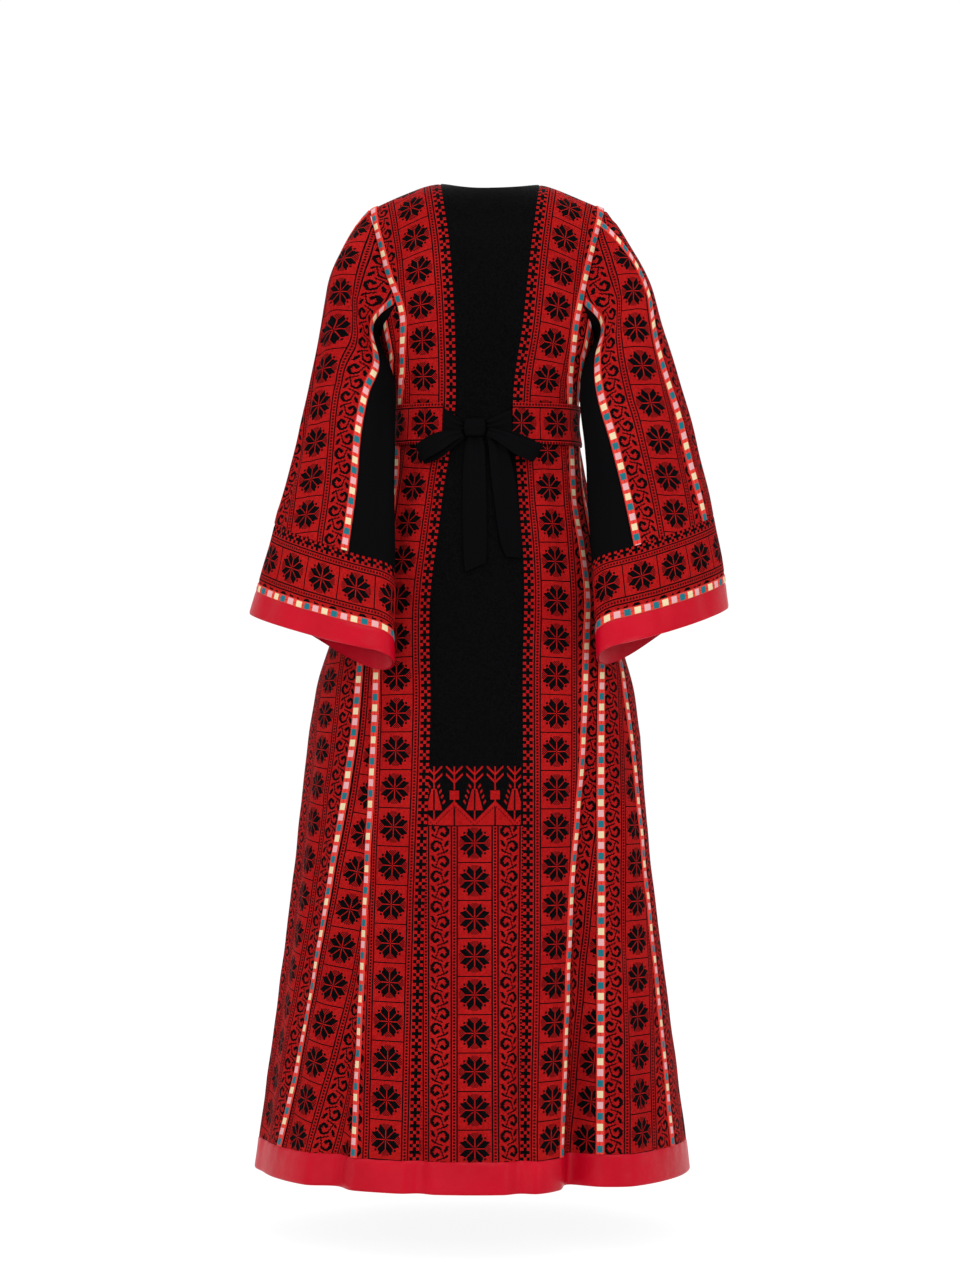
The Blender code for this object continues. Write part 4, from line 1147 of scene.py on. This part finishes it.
def chart(rows, column, row):
    """A chart: a colour ramp gives each column's black stitches as the bits of one number."""
    ramp = Sum.tree.nodes.new("ShaderNodeValToRGB")
    stops = ramp.color_ramp
    stops.interpolation = "CONSTANT"
    places = 32
    for i in range(len(rows[0])):
        bits = sum(1 << j for j, line in enumerate(rows) if line[i] == "#") / 2 ** len(rows)
        stop = stops.elements[i] if i < 2 else stops.elements.new(i / places)
        stop.position = i / places
        stop.color = (bits, bits, bits, 1)
    Sum.tree.links.new(((column + 0.5) / places).socket, ramp.inputs[0])
    split = Sum.tree.nodes.new("ShaderNodeSeparateColor")
    Sum.tree.links.new(ramp.outputs[0], split.inputs[0])
    mask = Sum(split.outputs[0]) * 2 ** len(rows) + 0.5
    power = (row * 0 + 2).node("POWER", row)
    return ((mask / power).floor() % 2) > 0.5


def scrolls(p, y):
    wide, tall = len(SCROLL[0]), len(SCROLL)
    c = p.floor() - SCROLLS_AT
    turned = ((y / tall).floor() % 2) > 0.5
    column = (c * -1 + (wide - 1)).either(c, turned)
    return chart(SCROLL, column, y % tall) & c.within(-0.5, wide - 0.5)


def strip(u, v, x, y, pitch=STAR_PITCH):
    """Chain, scrolls, chain, medallions, over and over."""
    p = u % STRIP
    return (chain(p, v, 0) | chain(p, v, SECOND_CHAIN)) | (scrolls(p, y) | medallions(p, y, pitch))


def crosses(x, y):
    side = abs((x / 3).floor() - 1) > 0.5
    kind = (y / 3).floor() % 4
    return ((kind % 2) < 0.5).either(kind > 0.5, side)


def bordered(u, v, x, y):
    """A border of crosses next to the plain cloth, then the strip from its second chain on."""
    rest = strip(u + BORDERED_PHASE, v, x, y)
    return (crosses(x, y) & (x < BORDER_WIDTH - 1)).either(rest, x < BORDER_WIDTH)


def lower_panel(u, v, x, y):
    """The centre panel: plain above, then trees over a zigzag, then mirrored strips."""
    away = abs(u)
    strips = strip(away + CENTRE_PHASE, v, x, y * -1, LOWER_PITCH)
    cypress = abs((u + 19) % 38 - 19)
    square = cypress * -1 + 19
    nearest = cypress.lesser(square)
    drop = v * -1 + TREES_TOP
    branch = drop + nearest
    sewn = (nearest < 0.6) & drop.within(0, 22)
    sewn = sewn | ((nearest < 7.7) & (branch.within(6.5, 8.9) | branch.within(13.8, 16.2)))
    sewn = sewn | ((square < 4.4) & drop.within(22.6, 31))
    sewn = sewn | ((square < 0.6) & drop.within(31, 33.5))
    body_half = (drop - 21) * 0.27 + 2.3
    wedge = ((cypress - body_half) < 0) & (drop.within(21, 41) & (cypress > 0.7))
    leaf = abs(cypress - ((drop - 18.5) * 0.327 + 4.5)) < 1.5
    stripes = ((drop + cypress * 1.3 - 22.9) % 6.98) < 2.9
    sewn = sewn | (wedge | (leaf & (stripes & drop.within(16, 36))))
    sewn = sewn | ((cypress < 0.6) & drop.within(41, 50))
    below = drop - square - 32
    dotted = below.within(4, 5.2) & ((x % 2) > 0.5)
    post = (square < 0.7) & (drop > 38)
    hill = (below > 0) & (~(dotted | post))
    trees = ~(sewn | hill) | (drop > 54.8)
    beyond = (v > 56.4) | (away > 43.6)
    return (trees | beyond).either(strips, v > 0)


def belt_bands(u, v, x, y):
    p = u + CENTRE_PHASE
    return (chain(p, v, SECOND_CHAIN) | chain(p, v, STRIP - 1)) | medallions(p, y)


REDS = ((0.39, 0.0050, 0.0070), (0.60, 0.015, 0.013))
BLACKS = ((0.0010, 0.0010, 0.0012), (0.0028, 0.0028, 0.0032))
CRIMSONS = ((0.30, 0.0001, 0.0065), (0.49, 0.0003, 0.014))
HOLLOW = (0.012, 0.0006, 0.001)
TAPE_REDS = ((0.50, 0.018, 0.016), (0.72, 0.055, 0.035))
PINK, CREAM, TEAL = (0.62, 0.33, 0.34), (0.66, 0.55, 0.33), (0.003, 0.13, 0.165)
RIB_SHADE, BEAD_SHADE, LINE_SHADE = (0.05, 0.03, 0.03), (0.05, 0.004, 0.005), (0.03, 0.005, 0.006)


def embroidery(name, pattern):
    """Cross stitches in red thread on black crepe, with an X in relief for each stitch."""
    material, tree, shader = new_material(name, 0.62, 0.012)
    u, v = uv_sums(tree)
    x, y = u.floor(), v.floor()
    dark = pattern(u, v, x, y)
    grain = tree.nodes.new("ShaderNodeTexWhiteNoise")
    grain.noise_dimensions = "2D"
    tree.links.new(joined(tree, x, y), grain.inputs["Vector"])
    share = Sum(grain.outputs[0])
    broad = noise(tree, 9.0)
    f, g = u - x, v - y
    hollow = (abs(f - 0.5) | abs(g - 0.5)) > 0.37
    cross = abs(f - g).lesser(abs(f + g - 1))
    red = blend_colours(tree, share * 0.7 + (broad - 0.35), *REDS)
    red = blend_colours(tree, hollow * 0.9, red, HOLLOW)
    black = blend_colours(tree, share, *BLACKS)
    tree.links.new(blend_colours(tree, dark, red, black), shader.inputs["Base Color"])
    bump(tree, shader, cross * -1.6 + (hollow * -0.3 + 1), 0.0005, 0.55)
    return material


def crepe(name):
    """Matt black crepe with a fine grain."""
    material, tree, shader = new_material(name, 0.75, 0.012, 0.003)
    fine = noise(tree, 1500.0, 3.0)
    share = fine * 0.7 + noise(tree, 6.0) * 0.5
    tree.links.new(blend_colours(tree, share, *BLACKS), shader.inputs["Base Color"])
    bump(tree, shader, fine, 0.0006, 0.5)
    return material


def satin(name):
    """Crimson satin: a close twill with a soft gloss."""
    material, tree, shader = new_material(name, 0.30, 0.10)
    u, v = uv_sums(tree)
    twill = ((u + v * 0.5) * 4) % 1
    slub = noise(tree, 420.0, 3.0)
    share = noise(tree, 14.0) * 0.8 + slub * 0.3
    tree.links.new(blend_colours(tree, share, *CRIMSONS), shader.inputs["Base Color"])
    creases = noise(tree, 26.0, 3.0)
    bump(tree, shader, twill * 0.3 + (slub + creases * 14), 0.00025, 0.6)
    return material


def tape(name, half):
    """Woven tape: teal, pink and cream blocks on a red band with beaded edges."""
    material, tree, shader = new_material(name, 0.55, 0.08)
    u, v = uv_sums(tree)
    width, pitch = TAPE_WIDTH / STITCH, TAPE_PITCH / STITCH
    away = abs(u - width / 2)
    kind = (v / pitch).floor() % 3
    block = (away < half) & ((v / pitch) % 1).within(0.16, 0.80)
    rib = ((u * 1.6) % 1) < 0.16
    pale = blend_colours(tree, kind > 1.5, PINK, CREAM)
    fill = blend_colours(tree, kind < 0.5, pale, TEAL)
    fill = blend_colours(tree, rib * 0.4, fill, RIB_SHADE)
    beads = away.within(half + 0.45, half + 0.95) & ((v % 1.6) < 0.8)
    ground = blend_colours(tree, noise(tree, 700.0), *TAPE_REDS)
    ground = blend_colours(tree, beads * 0.75, ground, BEAD_SHADE)
    middle = (away < 0.22) & ~block
    ground = blend_colours(tree, middle * 0.8, ground, LINE_SHADE)
    tree.links.new(blend_colours(tree, block, ground, fill), shader.inputs["Base Color"])
    bump(tree, shader, block * 0.7 + (rib * -0.3 + beads * -0.4), 0.0004, 0.6)
    return material


MATERIALS = {
    "strip": embroidery("embroidery_strips", strip),
    "bordered": embroidery("embroidery_bordered", bordered),
    "cuff": embroidery("embroidery_cuffs", bordered),
    "centre": embroidery("embroidery_centre", lower_panel),
    "belt": embroidery("embroidery_belt", belt_bands),
    "crepe": crepe("crepe_black"),
    "inside": crepe("crepe_inside"),
    "satin": satin("satin_crimson"),
    "tape": tape("tape_woven", 2.7),
    "cuff_tape": tape("tape_sleeves", 2.95),
}


def dress():
    """Every piece. A panel's pattern starts at its first or last seam, some stitches on."""
    strips, bordered_cloth, inside = MATERIALS["strip"], MATERIALS["bordered"], MATERIALS["inside"]
    centre_panel("back_centre_panel", "centre", 0.0, MATERIALS["centre"], inside, back_neck)
    centre_panel("front_centre_panel", "chest", 180.0, MATERIALS["crepe"], inside, front_neck, SLIT_HALF)
    for side, word in ((1, "left"), (-1, "right")):
        body_panel(f"back_side_panel_{word}", side, "centre", "back", "first", 0, bordered_cloth, inside,
                   {"last": f"back_tape_{word}"}, high=True)
        gore_start = ("last", 27) if side > 0 else ("first", 7)
        body_panel(f"back_gore_{word}", side, "back", "gore", *gore_start, strips, inside)
        body_panel(f"side_panel_{word}", side, "gore", "side", "first", 0, strips, inside,
                   {"first": f"gore_tape_{word}", "last": f"side_tape_{word}"})
        body_panel(f"front_gore_{word}", side, "side", "front", "first", 7, strips, inside)
        body_panel(f"front_side_panel_{word}", side, "front", "chest", "last", 0, bordered_cloth, inside,
                   {"first": f"front_tape_{word}"}, high=True)
        sleeve_panels(side, word, strips, MATERIALS["crepe"], inside)
        cuffs(side, word)
    hem_bands()
    belt()


FLOOR_GAP = 0.085
FLOOR_RADIUS, CURVE_RADIUS, WALL_HEIGHT = 5.6, 1.4, 9.0
CAMERA_PLACE = (0.0098, 4.7, -0.64)
CAMERA_LENS, CAMERA_SENSOR = 94.4, 36.0
LIGHT_AIM = (0, 0, -0.65)
LIGHTS = (
    ("key", (-1.9, 4.2, 1.3), 2.2, 62),
    ("fill", (2.6, 3.6, 0.6), 2.4, 42),
    ("top", (0.0, 0.6, 3.2), 3.0, 60),
    ("rim", (0.0, -2.0, 1.4), 2.5, 30),
)


def backdrop():
    """A round studio: a flat floor that curves up into one wall, the same from every side."""
    ground = HEM - FLOOR_GAP
    profile = [
        (FLOOR_RADIUS + CURVE_RADIUS * math.sin(a), ground + CURVE_RADIUS * (1 - math.cos(a)))
        for a in np.linspace(0, math.pi / 2, 14)
    ]
    profile.append((FLOOR_RADIUS + CURVE_RADIUS, ground + WALL_HEIGHT))
    count = 96
    turns = [math.tau * i / count for i in range(count)]
    corners = [(r * math.cos(t), r * math.sin(t), z) for r, z in profile for t in turns]
    faces = [tuple(range(count))] + [face[::-1] for face in tube_faces(len(profile), count)]
    mesh = bpy.data.meshes.new("backdrop")
    mesh.from_pydata(corners, [], faces)
    mesh.shade_smooth()
    pale, tree, shader = new_material("pale_studio", 0.8, 0.1)
    tone = blend_colours(tree, noise(tree, 0.8), (0.10, 0.10, 0.10), (0.12, 0.12, 0.12))
    tree.links.new(tone, shader.inputs["Base Color"])
    shader.inputs["Emission Color"].default_value = (1, 1, 1, 1)
    shader.inputs["Emission Strength"].default_value = 0.90
    pale.cycles.emission_sampling = "NONE"
    mesh.materials.append(pale)
    made = bpy.data.objects.new("backdrop", mesh)
    bpy.context.scene.collection.objects.link(made)


def studio():
    scene = bpy.context.scene
    world = bpy.data.worlds.new("studio")
    world.use_nodes = True
    background = world.node_tree.nodes["Background"]
    background.inputs["Color"].default_value = (1, 1, 1, 1)
    background.inputs["Strength"].default_value = 0.72
    scene.world = world
    scene.view_settings.view_transform = "Standard"
    backdrop()
    for name, place, size, power in LIGHTS:
        light = bpy.data.lights.new(name, "AREA")
        light.energy, light.size = power, size
        lamp = bpy.data.objects.new(name, light)
        lamp.location = place
        aim = Vector(LIGHT_AIM) - Vector(place)
        lamp.rotation_euler = aim.to_track_quat("-Z", "Y").to_euler()
        scene.collection.objects.link(lamp)
    camera = bpy.data.cameras.new("camera")
    camera.lens, camera.sensor_width = CAMERA_LENS, CAMERA_SENSOR
    view = bpy.data.objects.new("camera", camera)
    view.location = CAMERA_PLACE
    view.rotation_euler = (math.radians(90), 0, math.radians(180))
    scene.collection.objects.link(view)
    scene.camera = view


dress()
studio()
